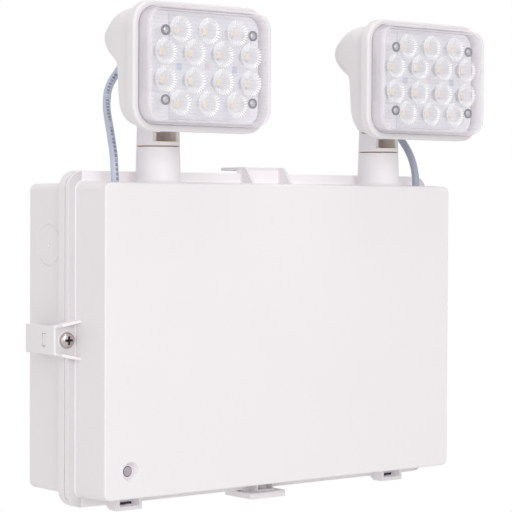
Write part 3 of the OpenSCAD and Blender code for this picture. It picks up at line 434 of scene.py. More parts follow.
def copy_of(node: str, name: str, edge: float) -> Thing:
    """A copy of a CAD node with its facets merged and its edges rounded.

    Args:
        node: the CAD node.
        name: the new object's name.
        edge: width of the rounded edges in millimetres.

    Returns:
        The new object.
    """
    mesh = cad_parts[node].data.copy()
    mesh.name = name
    mesh.materials.clear()
    bm = bmesh.new()
    bm.from_mesh(mesh)
    bmesh.ops.remove_doubles(bm, verts=bm.verts, dist=2e-6)
    bmesh.ops.dissolve_limit(bm, angle_limit=math.radians(0.6), verts=bm.verts, edges=bm.edges)
    bm.to_mesh(mesh)
    bm.free()
    thing = link_in(name, mesh)
    step = thing.modifiers.new("edges", "BEVEL")
    step.width = edge * MM
    step.segments = 2
    step.limit_method = "ANGLE"
    step.angle_limit = math.radians(35)
    step.use_clamp_overlap = True
    return bake(thing)


def dress(thing: Thing, finish: "Finish", body: str,
          stands_for: Iterable[str] = ()) -> Thing:
    """Give a piece its material, body and the CAD nodes that it stands for.

    Args:
        thing: the piece.
        finish: its finish.
        body: the CAD body that it rides on.
        stands_for: the CAD nodes that it replaces.

    Returns:
        The piece.
    """
    thing.data.materials.clear()
    thing.data.materials.append(finish.material())
    for polygon in thing.data.polygons:
        polygon.material_index = 0
    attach(thing, body)
    names = list(stands_for)
    if names:
        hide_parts(*names)
    LOG.info("%s rides on %s", thing.name, body)
    return thing


# ---------------------------------------------------------------- node tools


@dataclass(frozen=True)
class Net:
    """A node tree with short ways of adding to it."""

    tree: bpy.types.NodeTree

    def feed(self, value: object, socket: Socket) -> None:
        """Link a socket to an input, or set the input to a plain value.

        Args:
            value: the socket or value; a colour may come without its alpha.
            socket: the input.
        """
        if isinstance(value, Socket):
            self.tree.links.new(value, socket)
        elif socket.type == "RGBA" and len(value) == 3:
            socket.default_value = (*value, 1.0)
        else:
            socket.default_value = value

    def set(self, node: Node, **values: object) -> Node:
        """Feed a node's inputs by label, with an underscore for each space.

        Args:
            node: the node.
            values: a value or a socket for each label.

        Returns:
            The node.
        """
        for label, value in values.items():
            self.feed(value, node.inputs[label.replace("_", " ")])
        return node

    def new(self, kind: str, **values: object) -> Node:
        """Add a node of a kind, and feed its inputs as set() does."""
        return self.set(self.tree.nodes.new(kind), **values)

    def math(self, operation: str, *terms: object, clamp: bool = False) -> Socket:
        """Put sockets or numbers through a math node.

        Args:
            operation: the node's operation.
            terms: its inputs in order.
            clamp: keep the result between nought and one.

        Returns:
            The result.
        """
        node = self.new("ShaderNodeMath")
        node.operation = operation
        node.use_clamp = clamp
        for term, socket in zip(terms, node.inputs):
            self.feed(term, socket)
        return node.outputs[0]

    def times(self, *factors: object) -> Socket:
        """The product of sockets and numbers."""
        return reduce(lambda a, b: self.math("MULTIPLY", a, b), factors)

    def remap(self, value: Socket, low: float, high: float, out_low: float = 0.0, out_high: float = 1.0) -> Socket:
        """Map a value from one span to another, and keep it there.

        Args:
            value: the value.
            low: value that gives out_low.
            high: value that gives out_high.
            out_low: the result at low.
            out_high: the result at high.

        Returns:
            The mapped value.
        """
        node = self.new("ShaderNodeMapRange", Value=value, From_Min=low, From_Max=high, To_Min=out_low,
                        To_Max=out_high)
        return node.outputs["Result"]

    def noise(self, vector: Socket, scale: float, detail: float = 2.0, rough: float = 0.5) -> Socket:
        """A noise texture on a vector, with its scale in waves per unit of the vector."""
        node = self.new("ShaderNodeTexNoise", Vector=vector, Scale=scale, Detail=detail, Roughness=rough)
        return node.outputs["Fac"]

    def axes(self, vector: Socket) -> list[Socket]:
        """A vector's parts along X, Y and Z."""
        return list(self.new("ShaderNodeSeparateXYZ", Vector=vector).outputs)

    def mixed(self, factor: Socket, first: Socket | Colour, second: Colour) -> Socket:
        """Lay one colour over another.

        Args:
            factor: how much of the second colour shows.
            first: the colour below, plain or from a socket.
            second: the colour on top.

        Returns:
            The mixed colour.
        """
        node = self.new("ShaderNodeMix")
        node.data_type = "RGBA"
        for index, value in ((0, factor), (6, first), (7, second)):
            self.feed(value, node.inputs[index])
        return node.outputs[2]

    def scaled(self, colour: Socket | Colour, factor: Socket) -> Socket:
        """Multiply a colour by a varying factor.

        Args:
            colour: the colour, plain or from a socket.
            factor: the factor.

        Returns:
            The product.
        """
        node = self.new("ShaderNodeVectorMath")
        node.operation = "SCALE"
        self.feed(colour, node.inputs[0])
        return self.set(node, Scale=factor).outputs[0]


def moulded_group() -> bpy.types.NodeTree:
    """Clouds, specks and fine grain of a moulded or plated surface, built once.

    Returns:
        The group, which puts out a colour factor, a roughness and a height.
    """
    found = bpy.data.node_groups.get("Moulded surface")
    if found:
        return found
    tree = bpy.data.node_groups.new("Moulded surface", "ShaderNodeTree")
    tree.interface.new_socket("Vector", in_out="INPUT", socket_type="NodeSocketVector")
    for label, default in (("Cloud", 0.03), ("Roughness", 0.4), ("Roughness Spread", 0.08)):
        tree.interface.new_socket(label, in_out="INPUT", socket_type="NodeSocketFloat").default_value = default
    for label in ("Shade", "Roughness", "Height"):
        tree.interface.new_socket(label, in_out="OUTPUT", socket_type="NodeSocketFloat")
    net = Net(tree)
    given = net.new("NodeGroupInput").outputs
    clouds = net.noise(given["Vector"], 18.0, 3.0, 0.55)
    specks = net.noise(given["Vector"], 420.0, 2.0, 0.6)
    grain = net.noise(given["Vector"], 2600.0, 2.0, 0.6)
    centred = net.math("SUBTRACT", net.math("MULTIPLY_ADD", specks, 0.35, clouds), 0.675)
    shade = net.math("MULTIPLY_ADD", centred, given["Cloud"], 1.0)
    rough = net.math("MULTIPLY_ADD", centred, given["Roughness Spread"], given["Roughness"])
    net.new("NodeGroupOutput", Shade=shade, Roughness=rough, Height=grain)
    return tree


# ---------------------------------------------------------------- finishes


class Finish:
    """A material that is built once and shared."""

    name: str
    colour: Colour

    def material(self) -> bpy.types.Material:
        """Find the material, or make it on first use.

        Returns:
            The material.
        """
        found = bpy.data.materials.get(self.name)
        if found:
            return found
        made = bpy.data.materials.new(self.name)
        made.use_nodes = True
        self.wire(Net(made.node_tree), made.node_tree.nodes["Principled BSDF"])
        return made

    def wire(self, net: Net, shader: Node) -> None:
        """Set the shader's sockets and add the nodes that feed them.

        Args:
            net: the material's nodes.
            shader: its Principled shader.
        """
        raise NotImplementedError

    @staticmethod
    def own_space(net: Net, output: str = "Object") -> Socket:
        """The object's own coordinates, or its UV map."""
        return net.new("ShaderNodeTexCoord").outputs[output]

    @staticmethod
    def normal_y(net: Net) -> Socket:
        """How much the true normal points along the depth."""
        return net.axes(net.new("ShaderNodeNewGeometry").outputs["True Normal"])[1]

    @staticmethod
    def bumped(net: Net, shader: Node, height: Socket, strength: float, distance_mm: float) -> None:
        """Feed a height, which reaches distance_mm at one, to the shader's normal."""
        bump = net.new("ShaderNodeBump", Strength=strength, Distance=distance_mm * MM, Height=height)
        net.set(shader, Normal=bump.outputs["Normal"])

    def surface(self, net: Net, shader: Node, bump: Flat, **levels: float) -> None:
        """Feed the shared group's shade, roughness and grain to the shader.

        Args:
            net: the material's nodes.
            shader: its Principled shader.
            bump: strength and full height in millimetres of the grain.
            levels: the group's inputs, as Net.set() takes them.
        """
        group = net.new("ShaderNodeGroup")
        group.node_tree = moulded_group()
        made = net.set(group, Vector=self.own_space(net), **levels).outputs
        net.set(shader, Base_Color=net.scaled(self.colour, made["Shade"]), Roughness=made["Roughness"])
        self.bumped(net, shader, made["Height"], *bump)


@dataclass(frozen=True)
class Moulded(Finish):
    """Opaque moulded plastic or rubber."""

    name: str
    colour: Colour
    roughness: float = 0.4
    cloud: float = 0.03
    spread: float = 0.1
    grain: float = 0.15
    specular: float = 0.5
    # Emission strength, painted light: none of these pieces is a lamp
    glow: float = 0.0

    def wire(self, net: Net, shader: Node) -> None:
        """Wire clouds, specks and grain.

        Args:
            net: the material's nodes.
            shader: its Principled shader.
        """
        net.set(shader, Emission_Color=self.colour, Emission_Strength=self.glow, Specular_IOR_Level=self.specular)
        self.surface(net, shader, (self.grain, 0.02), Cloud=self.cloud, Roughness=self.roughness,
                     Roughness_Spread=self.spread)


@dataclass(frozen=True)
class Metal(Finish):
    """Plated or plain metal with fine turning marks."""

    name: str
    colour: Colour
    roughness: float = 0.3
    variation: float = 0.25

    def wire(self, net: Net, shader: Node) -> None:
        """Wire the brushed variation.

        Args:
            net: the material's nodes.
            shader: its Principled shader.
        """
        net.set(shader, Metallic=1.0)
        self.surface(net, shader, (0.2, 0.01), Cloud=self.variation, Roughness=self.roughness,
                     Roughness_Spread=self.variation)


@dataclass(frozen=True)
class PrismaticLens(Finish):
    """Clear cover with a fine square grid moulded on its inside, with painted light on its walls and a painted
    highlight and reflection in its alpha.
    """

    name: str
    colour: Colour
    line_colour: Colour = (0.72, 0.70, 0.76)
    wall_colour: Colour = (0.76, 0.72, 0.76)
    clear: float = 0.16
    line: float = 0.035
    pitch_mm: float = 2.0
    frost: float = 0.3
    centre_x: float = 0.0
    half_x: float = 39.0
    edge: float = 0.06
    sheen: float = 0.4
    # Emission of the whole piece, and of its walls from -X to +X: painted light
    glow: float = 0.0
    wall_glow: Flat = (0.05, 0.19)

    def wire(self, net: Net, shader: Node) -> None:
        """Wire the grid, the milky walls, the painted highlight on the rounded edge and the painted reflection at
        grazing angles into colour and alpha, and the painted light on the walls into emission.

        Args:
            net: the material's nodes.
            shader: its Principled shader.
        """
        vector = self.own_space(net)
        x, _, z = net.axes(vector)
        waves = 2 * math.pi / (self.pitch_mm * MM)
        bars = [net.remap(net.math("COSINE", net.times(along, waves)), 0.3, 1.0) for along in (x, z)]
        front = net.math("ABSOLUTE", self.normal_y(net))
        face = net.remap(front, 0.75, 0.95)
        side = net.math("SUBTRACT", 1.0, face)
        grid = net.times(net.math("MAXIMUM", *bars), face)
        # Painted highlight: extra alpha where the rounded edge turns from the front to the sides
        turned = net.times(net.remap(front, 0.1, 0.5), net.remap(front, 0.8, 0.98, 1.0, 0.0))
        alpha = net.remap(net.noise(vector, 60.0), 0.3, 0.7, 0.8 * self.clear, 1.2 * self.clear)
        for mask, strength in ((grid, self.line), (side, self.frost), (turned, self.edge)):
            alpha = net.math("MULTIPLY_ADD", mask, strength, alpha)
        # Painted reflection: Fresnel adds alpha to faces that look outward, most at grazing angles
        backfacing = net.new("ShaderNodeNewGeometry").outputs["Backfacing"]
        outside = net.math("SUBTRACT", self.sheen, backfacing, clamp=True)
        fresnel = net.new("ShaderNodeFresnel", IOR=1.45).outputs["Fac"]
        alpha = net.math("MULTIPLY_ADD", fresnel, outside, alpha, clamp=True)
        colour = net.mixed(side, net.mixed(grid, self.colour, self.line_colour), self.wall_colour)
        # Painted light: the walls' emission rises from -X to +X
        across = net.remap(x, (self.centre_x - self.half_x) * MM, (self.centre_x + self.half_x) * MM,
                           *self.wall_glow)
        painted_light = net.math("MULTIPLY_ADD", side, across, self.glow)
        net.set(shader, Base_Color=colour, Alpha=alpha, Emission_Color=self.colour, Emission_Strength=painted_light,
                Roughness=0.12, Specular_IOR_Level=0.5)
        self.bumped(net, shader, grid, 0.2, 0.03)


@dataclass(frozen=True)
class Optic(Finish):
    """Clear collimator with painted highlights on radial facets in spots of its dish, and painted light by emission;
    reads the piece's UV map.
    """

    name: str
    colour: Colour
    veil: float = 0.18
    wall: float = 0.1
    # Emission strength: painted light
    glow: float = 0.25
    facets: int = 28

    # Spots of painted highlight: middle, half width and fade in turns; start and full share of the radius; strength;
    # facet depth
    patches: tuple[tuple[float, ...], ...] = (
        (0.45, 0.12, 0.06, 0.70, 0.76, 0.74, 0.8), (0.25, 0.08, 0.05, 0.50, 0.62, 0.42, 0.8),
        (0.86, 0.07, 0.06, 0.34, 0.52, 0.42, 0.1), (0.05, 0.07, 0.05, 0.56, 0.7, 0.3, 0.4),
        (0.69, 0.09, 0.05, 0.55, 0.7, 0.3, 1.0))

    def wire(self, net: Net, shader: Node) -> None:
        """Wire the painted highlights on the facets into alpha, and the painted light into emission.

        Args:
            net: the material's nodes.
            shader: its Principled shader.
        """
        turn, out, _ = net.axes(self.own_space(net, "UV"))
        wave = net.math("COSINE", net.times(turn, 2 * math.pi * self.facets))
        facet = net.remap(wave, -0.1, 0.3)
        total: object = self.veil
        for middle, half, fade, start, full, strength, depth in self.patches:
            shifted = net.math("FRACT", net.math("SUBTRACT", turn, middle - 0.5))
            off = net.math("ABSOLUTE", net.math("SUBTRACT", shifted, 0.5))
            mask = net.times(net.remap(off, half, half + fade, 1.0, 0.0), net.remap(out, start, full, 0.0, strength))
            broken = net.math("MULTIPLY_ADD", facet, depth, 1.0 - depth)
            total = net.math("MULTIPLY_ADD", mask, broken, total)
        facing = net.remap(net.math("ABSOLUTE", self.normal_y(net)), 0.45, 0.62, self.wall, 1.0)
        net.set(shader, Base_Color=self.colour, Alpha=net.math("MULTIPLY", total, facing, clamp=True),
                Emission_Color=self.colour, Emission_Strength=self.glow, Roughness=0.15)


@dataclass(frozen=True)
class CableJacket(Finish):
    """Soft cable jacket with a broken line of plain dark marks along it; reads the UV map."""

    name: str
    colour: Colour
    turned: float = 0.0
    mark: Colour = (0.05, 0.06, 0.09)

    def wire(self, net: Net, shader: Node) -> None:
        """Wire the marks and the jacket's faint mottling.

        Args:
            net: the material's nodes.
            shader: its Principled shader.
        """
        uv = self.own_space(net, "UV")
        round_it, along, _ = net.axes(uv)
        middle = net.math("MULTIPLY_ADD", along, -0.0013, 0.52 + self.turned)
        band = net.math("COMPARE", round_it, middle, 0.06)
        dash = net.math("LESS_THAN", net.math("PINGPONG", along, 1.15), 0.8)
        run = net.remap(net.noise(uv, 0.16, 0.0), 0.42, 0.44)
        cloud = net.noise(self.own_space(net), 160.0, 3.0)
        plain = net.scaled(self.colour, net.remap(cloud, 0.3, 0.7, 0.94, 1.05))
        net.set(shader, Base_Color=net.mixed(net.times(band, dash, run, 0.6), plain, self.mark),
                Roughness=net.remap(cloud, 0.3, 0.7, 0.38, 0.5))


WHITE = Moulded("White moulded shell", (0.84, 0.81, 0.825), 0.42, 0.03, 0.1, 0.12)
SEAL = Moulded("Brown grey seal", (0.60, 0.35, 0.35), 0.7, 0.12, 0.1, 0.2)
PALE_SEAL = Moulded("Pale lens seal", (0.84, 0.82, 0.84), 0.5, 0.03, 0.1, 0.05)
# Near black fill that stands for the shade in sinks and cross recesses: painted shade
PAINTED_SHADE_FILL = Moulded("Dark sink floor", (0.03, 0.025, 0.05), 0.7, 0.1)
BOARD = Moulded("White board", (0.86, 0.86, 0.90), 0.5, 0.04, 0.1, 0.05)
# The plate's emission is painted light that brightens it behind the lens
PLATE = Moulded("Plain aluminium plate", (0.88, 0.86, 0.90), 0.45, 0.04, 0.1, 0.05, glow=0.10)
STEEL = Metal("Zinc plated screw", (0.62, 0.61, 0.62), 0.28)
WARM_STEEL = Metal("Warm plated screw", (0.50, 0.45, 0.43), 0.24)
PHOSPHOR = Moulded("Yellow phosphor", (0.96, 0.76, 0.36), 0.5, 0.1, 0.1, 0.1)
CHIP_CASE = Moulded("White chip case", (0.86, 0.85, 0.86), 0.4, 0.04)
BLUE_MARK = Moulded("Blue grey component", (0.55, 0.60, 0.76), 0.5, 0.1)
PINK_MARK = Moulded("Pink grey component", (0.80, 0.73, 0.76), 0.5, 0.1)
# Dark ring round each board screw: painted shade in the gap round its head
SCREW_GAP_SHADE = Moulded("Dark screw rim", (0.045, 0.05, 0.09), 0.35, 0.2)
LENSES = {side: PrismaticLens(f"Prismatic lens, {side.word}", (0.88, 0.85, 0.88), centre_x=POST_X * side.value)
          for side in Side}
# The pillars' emission is painted light
TRAY = PrismaticLens("Clear pillar", (0.93, 0.92, 0.95), clear=0.02, line=0.0, frost=0.03, edge=0.05, glow=0.05,
                     wall_glow=(0.1, 0.1))
OPTIC = Optic("Clear collimator", (0.98, 0.98, 0.98))
# The right jacket's darker colour is painted shade; both cables have the same jacket
JACKETS = {Side.LEFT: CableJacket("Pale cable jacket, left", (0.52, 0.56, 0.68)),
           Side.RIGHT: CableJacket("Pale cable jacket, right", (0.40, 0.42, 0.51), turned=0.45)}
GLOW = Moulded("Clear status lamp", (0.40, 0.36, 0.40), 0.12, 0.02, 0.02, 0.0)
BLACK = Moulded("Black plastic", (0.03, 0.03, 0.035), 0.45, 0.2)
GREEN = Moulded("Green board", (0.05, 0.22, 0.12), 0.4, 0.2)
CAN = Metal("Sleeved can", (0.18, 0.30, 0.52), 0.4)
CORE = Metal("Laminated core", (0.16, 0.16, 0.17), 0.5)


@dataclass(frozen=True)
class ForkShell(Moulded):
    """The shell's plastic on a fork, with painted shade: a darker tint in its slot, and a brownish colour below its
    seat on the post, where the seam is.
    """

    centre_x: float = 0.0
    slot_half: float = 6.5
    slot_low: float = 101.0
    slot_high: float = 112.0
    seat_top: float = 99.5
    # Painted shade: the tint in the slot and the brownish colour of the seam
    dim: Colour = (0.93, 0.84, 0.76)
    warm: Colour = (0.62, 0.47, 0.42)

    def wire(self, net: Net, shader: Node) -> None:
        """Wire the plain plastic, then lay the two tints of painted shade over its colour.

        Args:
            net: the material's nodes.
            shader: its Principled shader.
        """
        super().wire(net, shader)
        x, _, z = net.axes(self.own_space(net))
        off = net.math("ABSOLUTE", net.math("SUBTRACT", x, self.centre_x * MM))
        inside = net.math("LESS_THAN", off, self.slot_half * MM)
        high = net.remap(z, self.slot_low * MM, self.slot_high * MM, 1.0, 0.0)
        above = net.math("GREATER_THAN", z, (self.slot_low - 0.2) * MM)
        seat = net.remap(z, (self.seat_top - 0.1) * MM, self.seat_top * MM, 1.0, 0.0)
        plain = shader.inputs["Base Color"].links[0].from_socket
        # Painted shade in the slot, fading upwards, then the painted shade of the seam
        slot_shaded = net.mixed(net.times(inside, high, above), plain, self.dim)
        net.set(shader, Base_Color=net.mixed(seat, slot_shaded, self.warm))


@dataclass(frozen=True)
class CoverShell(Moulded):
    """The shell's plastic, with painted shade where narrow rims face forward and painted light by emission in listed
    boxes round deep corners.
    """

    # Distance from the middle and depth of the rims with painted shade, the share of colour they keep, and the boxes
    # of painted light:
    # distance from the middle, depth, height and strength
    across: Flat = (0.0, 200.0)
    depths: Flat = (0.0, 200.0)
    dim: float = 0.80
    lifts: tuple[tuple[Flat, Flat, Flat, float], ...] = ()

    @staticmethod
    def within(net: Net, value: Socket, span: Flat) -> Socket:
        """One where a value lies inside a span, else nought."""
        return net.math("COMPARE", value, (span[0] + span[1]) / 2, (span[1] - span[0]) / 2)

    def wire(self, net: Net, shader: Node) -> None:
        """Wire the plain plastic, then the painted shade on its rims and the painted light in its boxes.

        Args:
            net: the material's nodes.
            shader: its Principled shader.
        """
        super().wire(net, shader)
        x, y, z = net.axes(self.own_space(net))
        off = net.times(net.math("ABSOLUTE", x), 1.0 / MM)
        depth, height = net.times(y, -1.0 / MM), net.times(z, 1.0 / MM)
        # Painted shade on rims that face forward
        shaded_rims = net.times(self.within(net, depth, self.depths), self.within(net, off, self.across))
        facing = net.remap(net.times(self.normal_y(net), -1.0), 0.6, 0.98)
        factor = net.math("MULTIPLY_ADD", net.times(shaded_rims, facing), self.dim - 1.0, 1.0)
        plain = shader.inputs["Base Color"].links[0].from_socket
        # Painted light by emission in each box
        painted_light: object = self.glow
        for *spans, strength in self.lifts:
            masks = [self.within(net, value, span) for value, span in zip((off, depth, height), spans)]
            painted_light = net.math("MULTIPLY_ADD", net.times(*masks), strength, painted_light)
        net.set(shader, Base_Color=net.scaled(plain, factor), Emission_Strength=painted_light)


def like_white(kind: type[Moulded], name: str, **changes: object) -> Moulded:
    """The white shell's plastic as another kind of finish, with some changes."""
    return kind(**{**asdict(WHITE), "name": name, **changes})


# Painted shade on the flange's front face beside the cover; painted light on the flange above the cover's top and in
# the corner pockets
COVER = like_white(CoverShell, "White moulded cover", across=(117.0, 132.5), depths=(36.5, 42.0),
                   lifts=(((0.0, 117.0), (37.0, 42.0), (80.2, 88.0), 0.12),
                          ((85.8, 98.2), (40.2, 47.5), (-87.8, -80.9), 0.10)))
# Painted shade: the bezel's forward faces keep 0.9 of their colour
BEZEL = like_white(CoverShell, "White moulded bezel", roughness=0.5, specular=0.15, dim=0.9)


# ---------------------------------------------------------------- enclosure


@dataclass
class Enclosure:
    """Back box, seal, cover with its posts and lugs, screws and status lamp."""

    body: str = "enclosure"
    box: Rim = Rim((122.4, 79.8), 4.0)
    flange: Rim = Rim((125.1, 86.1), 9.0)
    flange_back: float = 31.2
    seam: float = 36.9
    gasket_front: float = 37.3
    flange_front: float = 40.4
    cover_half: Flat = (120.7, 81.0)
    cover_corner: float = 5.0
    front_half: Flat = (119.4, 80.0)
    front_corner: float = 3.8
    front: float = 65.3
    wall: float = 2.5
    edge: float = 0.35
    front_edge: float = 0.9
    post_depth: float = 51.3
    post_top_r: float = 11.3
    post_top: float = 98.75
    screw_x: float = 126.2
    knockout: Flat = (18.3, 47.8)
    wall_hole: Flat = (100.0, 55.0)
    cable_hole: Flat = (105.0, 52.6)
    corner_lug_x: float = 92.0
    lamp_at: Flat = (-103.4, -66.2)

    def drafted(self, depth: float) -> Flat:
        """Half width and half height of the drafted cover at a depth."""
        share = (depth - self.flange_front) / (self.front - self.flange_front)
        return tuple(back + (front - back) * share for back, front in zip(self.cover_half, self.front_half))

    def build(self) -> None:
        """Make every piece of the enclosure."""
        self.back_box()
        self.seal()
        self.cover()
        self.screws()
        self.status_lamp()

    def back_box(self) -> None:
        """The open box against the wall, with its side lugs, knockouts and wall holes."""
        e = self.edge
        draft = MeshDraft("back_box_shell")
        rings = self.box.rings((0.0, e), (e * 0.3, e * 0.3), (e, 0.0), (self.flange_back - 0.3, 0.0),
                               (self.flange_back, -0.3))
        rings += self.lip(self.flange_back, self.seam)
        rings += self.box.rings((self.seam, self.wall), (self.wall, self.wall))
        draft.loft(rings)
        cuts = MeshDraft("box cuts")
        depth, z = self.knockout
        for side in Side:
            out = side.value
            draft.block(*self.mirrored(out, (121.5, 131.2), (20.0, self.seam), (-6.4, 6.4)), edge=0.4)
            draft.block(*self.mirrored(out, (130.9, 132.4), (29.5, 32.3), (-3.0, 3.0)), edge=0.3)
            x = out * self.box.half[0]
            cuts.revolve([(10.0, out * 0.3), (10.25, -out * 0.4), (10.85, -out * 0.4), (11.2, out * 0.3),
                          (10.0, out * 0.3)], (x, depth, z), Axis.ACROSS, 96)
            cuts.revolve([(0.0, -out * 0.65), (0.7, -out * 0.55), (1.5, out * 0.3), (0.0, out * 0.3)],
                         (x, depth, z), Axis.ACROSS, 24)
            for z_sign in (-1, 1):
                cuts.revolve([(0.0, -1.0), (2.5, -1.0), (2.5, 3.5), (0.0, 3.5)],
                             (out * self.wall_hole[0], 0.0, z_sign * self.wall_hole[1]), Axis.DEEP, 32)
        shell = boolean(draft.object(), outward(cuts.object()))
        dress(soften(shell), WHITE, self.body, ["back_box"])

    @staticmethod
    def mirrored(s: int, x: Flat, depth: Flat, z: Flat) -> tuple[Flat, Flat, Flat]:
        """A box's ranges, on the left or the right."""
        return (tuple(sorted((s * x[0], s * x[1]))), depth, z)

    def lip(self, back: float, front: float) -> list[list[Vector]]:
        """The rounded outer edge of a flange between two depths."""
        e = self.edge
        return self.flange.rings((back, e), (back + e * 0.3, e * 0.3), (back + e, 0.0), (front - e, 0.0),
                                 (front - e * 0.3, e * 0.3), (front, e))

    def seal(self) -> None:
        """The soft strip between the flanges."""
        outer, inner = 0.45, 4.2
        rings = self.flange.rings((self.seam, outer), (self.seam + 0.2, outer - 0.15), (self.gasket_front, outer),
                                  (self.gasket_front, inner), (self.seam, inner))
        MeshDraft("seal_strip").loft(rings, closed=True).piece(SEAL, self.body, "seal_rubber", ["perimeter_gasket"])

    def cover(self) -> None:
        """The drafted cover with everything that is moulded on it."""
        shell = MeshDraft("front_cover_dressed").loft(self.cover_rings()).object()
        extras = MeshDraft("cover extras")
        for side in Side:
            self.side_lug(extras, side.value)
            self.post(extras, side.value * POST_X)
        self.top_lug(extras)
        self.bottom_lugs(extras)
        boolean(shell, extras.object(), "UNION")
        boolean(shell, self.cover_cuts())
        dress(soften(shell), COVER, self.body, ["front_cover"])
        self.slot_floors()

    def cover_rings(self) -> list[list[Vector]]:
        """Go over the cover from its sealing face to its front.

        Returns:
            The rings to skin.
        """
        rings = self.flange.rings((self.gasket_front, 6.5)) + self.lip(self.gasket_front, self.flange_front)
        root = 0.6
        for share in (0.0, 0.3, 1.0):
            swell = root * (1 - share)
            root_rim = Rim((self.cover_half[0] + swell, self.cover_half[1] + swell), self.cover_corner + swell)
            rings += root_rim.rings((self.flange_front + root * share * share, 0.0))
        r = self.front_edge
        for cosine, sine in quarter(5):
            inset = r * (1 - cosine)
            depth = self.front - r + r * sine
            half_w, half_h = self.drafted(depth)
            share = (depth - self.flange_front) / (self.front - self.flange_front)
            corner = self.front_corner + 1.2 * (1 - share) - inset * 0.5
            rings += Rim((half_w - inset, half_h - inset), corner).rings((depth, 0.0))
        return rings

    def cover_cuts(self) -> Thing:
        """Collect the recess of the status lamp, the cable holes and the slots in the flange.

        Returns:
            One object to cut with.
        """
        cuts = MeshDraft("cover cuts")
        cuts.revolve([(0.0, -8.0), (2.8, -8.0), (2.8, -3.1), (3.3, -3.05), (5.0, -0.12), (5.35, 0.12), (5.35, 1.0),
                      (0.0, 1.0)], (self.lamp_at[0], self.front, self.lamp_at[1]), Axis.DEEP, 64)
        hole_x, hole_depth = self.cable_hole
        for side in Side:
            s = side.value
            cuts.revolve([(0.0, -6.0), (2.35, -6.0), (2.35, -0.4), (2.75, 0.1), (2.75, 3.0), (0.0, 3.0)],
                         (s * hole_x, hole_depth, self.drafted(hole_depth)[1]), Axis.UP, 40)
            cuts.block(*self.mirrored(s, (131.0, 134.5), (29.1, 32.7), (-3.4, 3.4)), edge=0.0)
            x = s * self.corner_lug_x
            cuts.block((x - 6.05, x + 6.05), (40.45, 49.0), (-86.6, -81.4), edge=0.0)
            cuts.block((x - 6.05, x + 1.55), (40.45, 46.9), (-87.7, -86.5), edge=0.0)
        cuts.block((-5.1, 5.1), (41.4, 47.0), (-86.1, -81.4), edge=0.0)
        return outward(cuts.object())

    def slot_floors(self) -> None:
        """The near black sheets of painted shade on the bottoms and in the slits of the sinks in the corner lugs, and
        the catches in the side slots.
        """
        shade_sheets, catches = MeshDraft("corner_sink_floors"), MeshDraft("side_catches")
        for side in Side:
            x = side.value * self.corner_lug_x
            shade_sheets.block((x - 6.0, x + 1.5), (40.5, 46.85), (-87.68, -87.0), 0.0)
            shade_sheets.block((x - 6.0, x + 6.0), (40.47, 41.1), (-86.55, -85.45), 0.0)
            catches.block(*self.mirrored(side.value, (131.9, 133.35), (29.4, 32.4), (-3.1, 3.1)), edge=0.2)
        shade_sheets.piece(PAINTED_SHADE_FILL, self.body, "black_plastic")
        catches.piece(WHITE, self.body, "white_shell")

    def post(self, draft: MeshDraft, x: float) -> None:
        """A lamp post with its flared foot.

        Args:
            draft: the draft that takes it.
            x: its place along X.
        """
        foot = self.drafted(self.post_depth)[1]
        profile = [(0.0, foot - 2.0), (13.2, foot - 2.0), (13.2, foot - 0.3), (12.5, foot + 0.2), (12.05, foot + 0.8),
                   (11.8, foot + 1.8), (11.68, foot + 3.4)]
        top, e = self.post_top, 0.3
        profile += [(self.post_top_r, top - e), (self.post_top_r - 0.1, top - 0.1), (self.post_top_r - e, top),
                    (7.1, top), (7.0, top - 0.1), (7.0, top - 3.0), (0.0, top - 3.0)]
        draft.revolve(profile, (x, self.post_depth, 0.0), Axis.UP, 96)

    def side_lug(self, draft: MeshDraft, s: int) -> None:
        """Floor, slotted outer plate and two slanted ribs of a side lug.

        Args:
            draft: the draft that takes them.
            s: the side's sign along X.
        """
        inner, outer, half, root_half, t = 119.6, 133.7, 7.35, 10.6, 1.6
        floor_outline = [(s * inner, -root_half), (s * outer, -half), (s * outer, half), (s * inner, root_half)]
        draft.prism(floor_outline, Axis.DEEP, self.gasket_front, self.flange_front, 0.25)
        plate = [(s * outer, self.flange_front), (s * outer, 24.5), (s * (outer - 1.0), 12.3),
                 (s * (outer - 1.0 - t), 12.3), (s * (outer - t), 24.5), (s * (outer - t), self.flange_front)]
        draft.prism(plate, Axis.UP, -half, half, 0.35)
        slope = (half - root_half) / (outer - inner)
        rib = [(x, depth, root_half + slope * (x - inner))
               for x, depth in ((inner, self.gasket_front + 0.4), (outer, self.gasket_front + 0.4),
                                (outer, self.flange_front + 0.25), (120.6, 45.0), (inner, 45.0))]
        for z_sign in (-1, 1):
            part = bmesh.new()
            skin(part, [[Vector((s * x, -d, z_sign * (z - drop))) * MM for x, d, z in rib] for drop in (0.0, t)])
            bmesh.ops.recalc_face_normals(part, faces=part.faces)
            bmesh.ops.bevel(part, geom=list(part.edges), offset=0.3 * MM, segments=2, profile=0.5,
                            affect="EDGES", clamp_overlap=True)
            draft.take(part)
        draft.revolve([(0.0, -0.5), (4.9, -0.5), (4.9, 0.05), (4.7, 0.3), (0.0, 0.3)],
                      (s * self.screw_x, self.flange_front, 0.0), Axis.DEEP, 48)

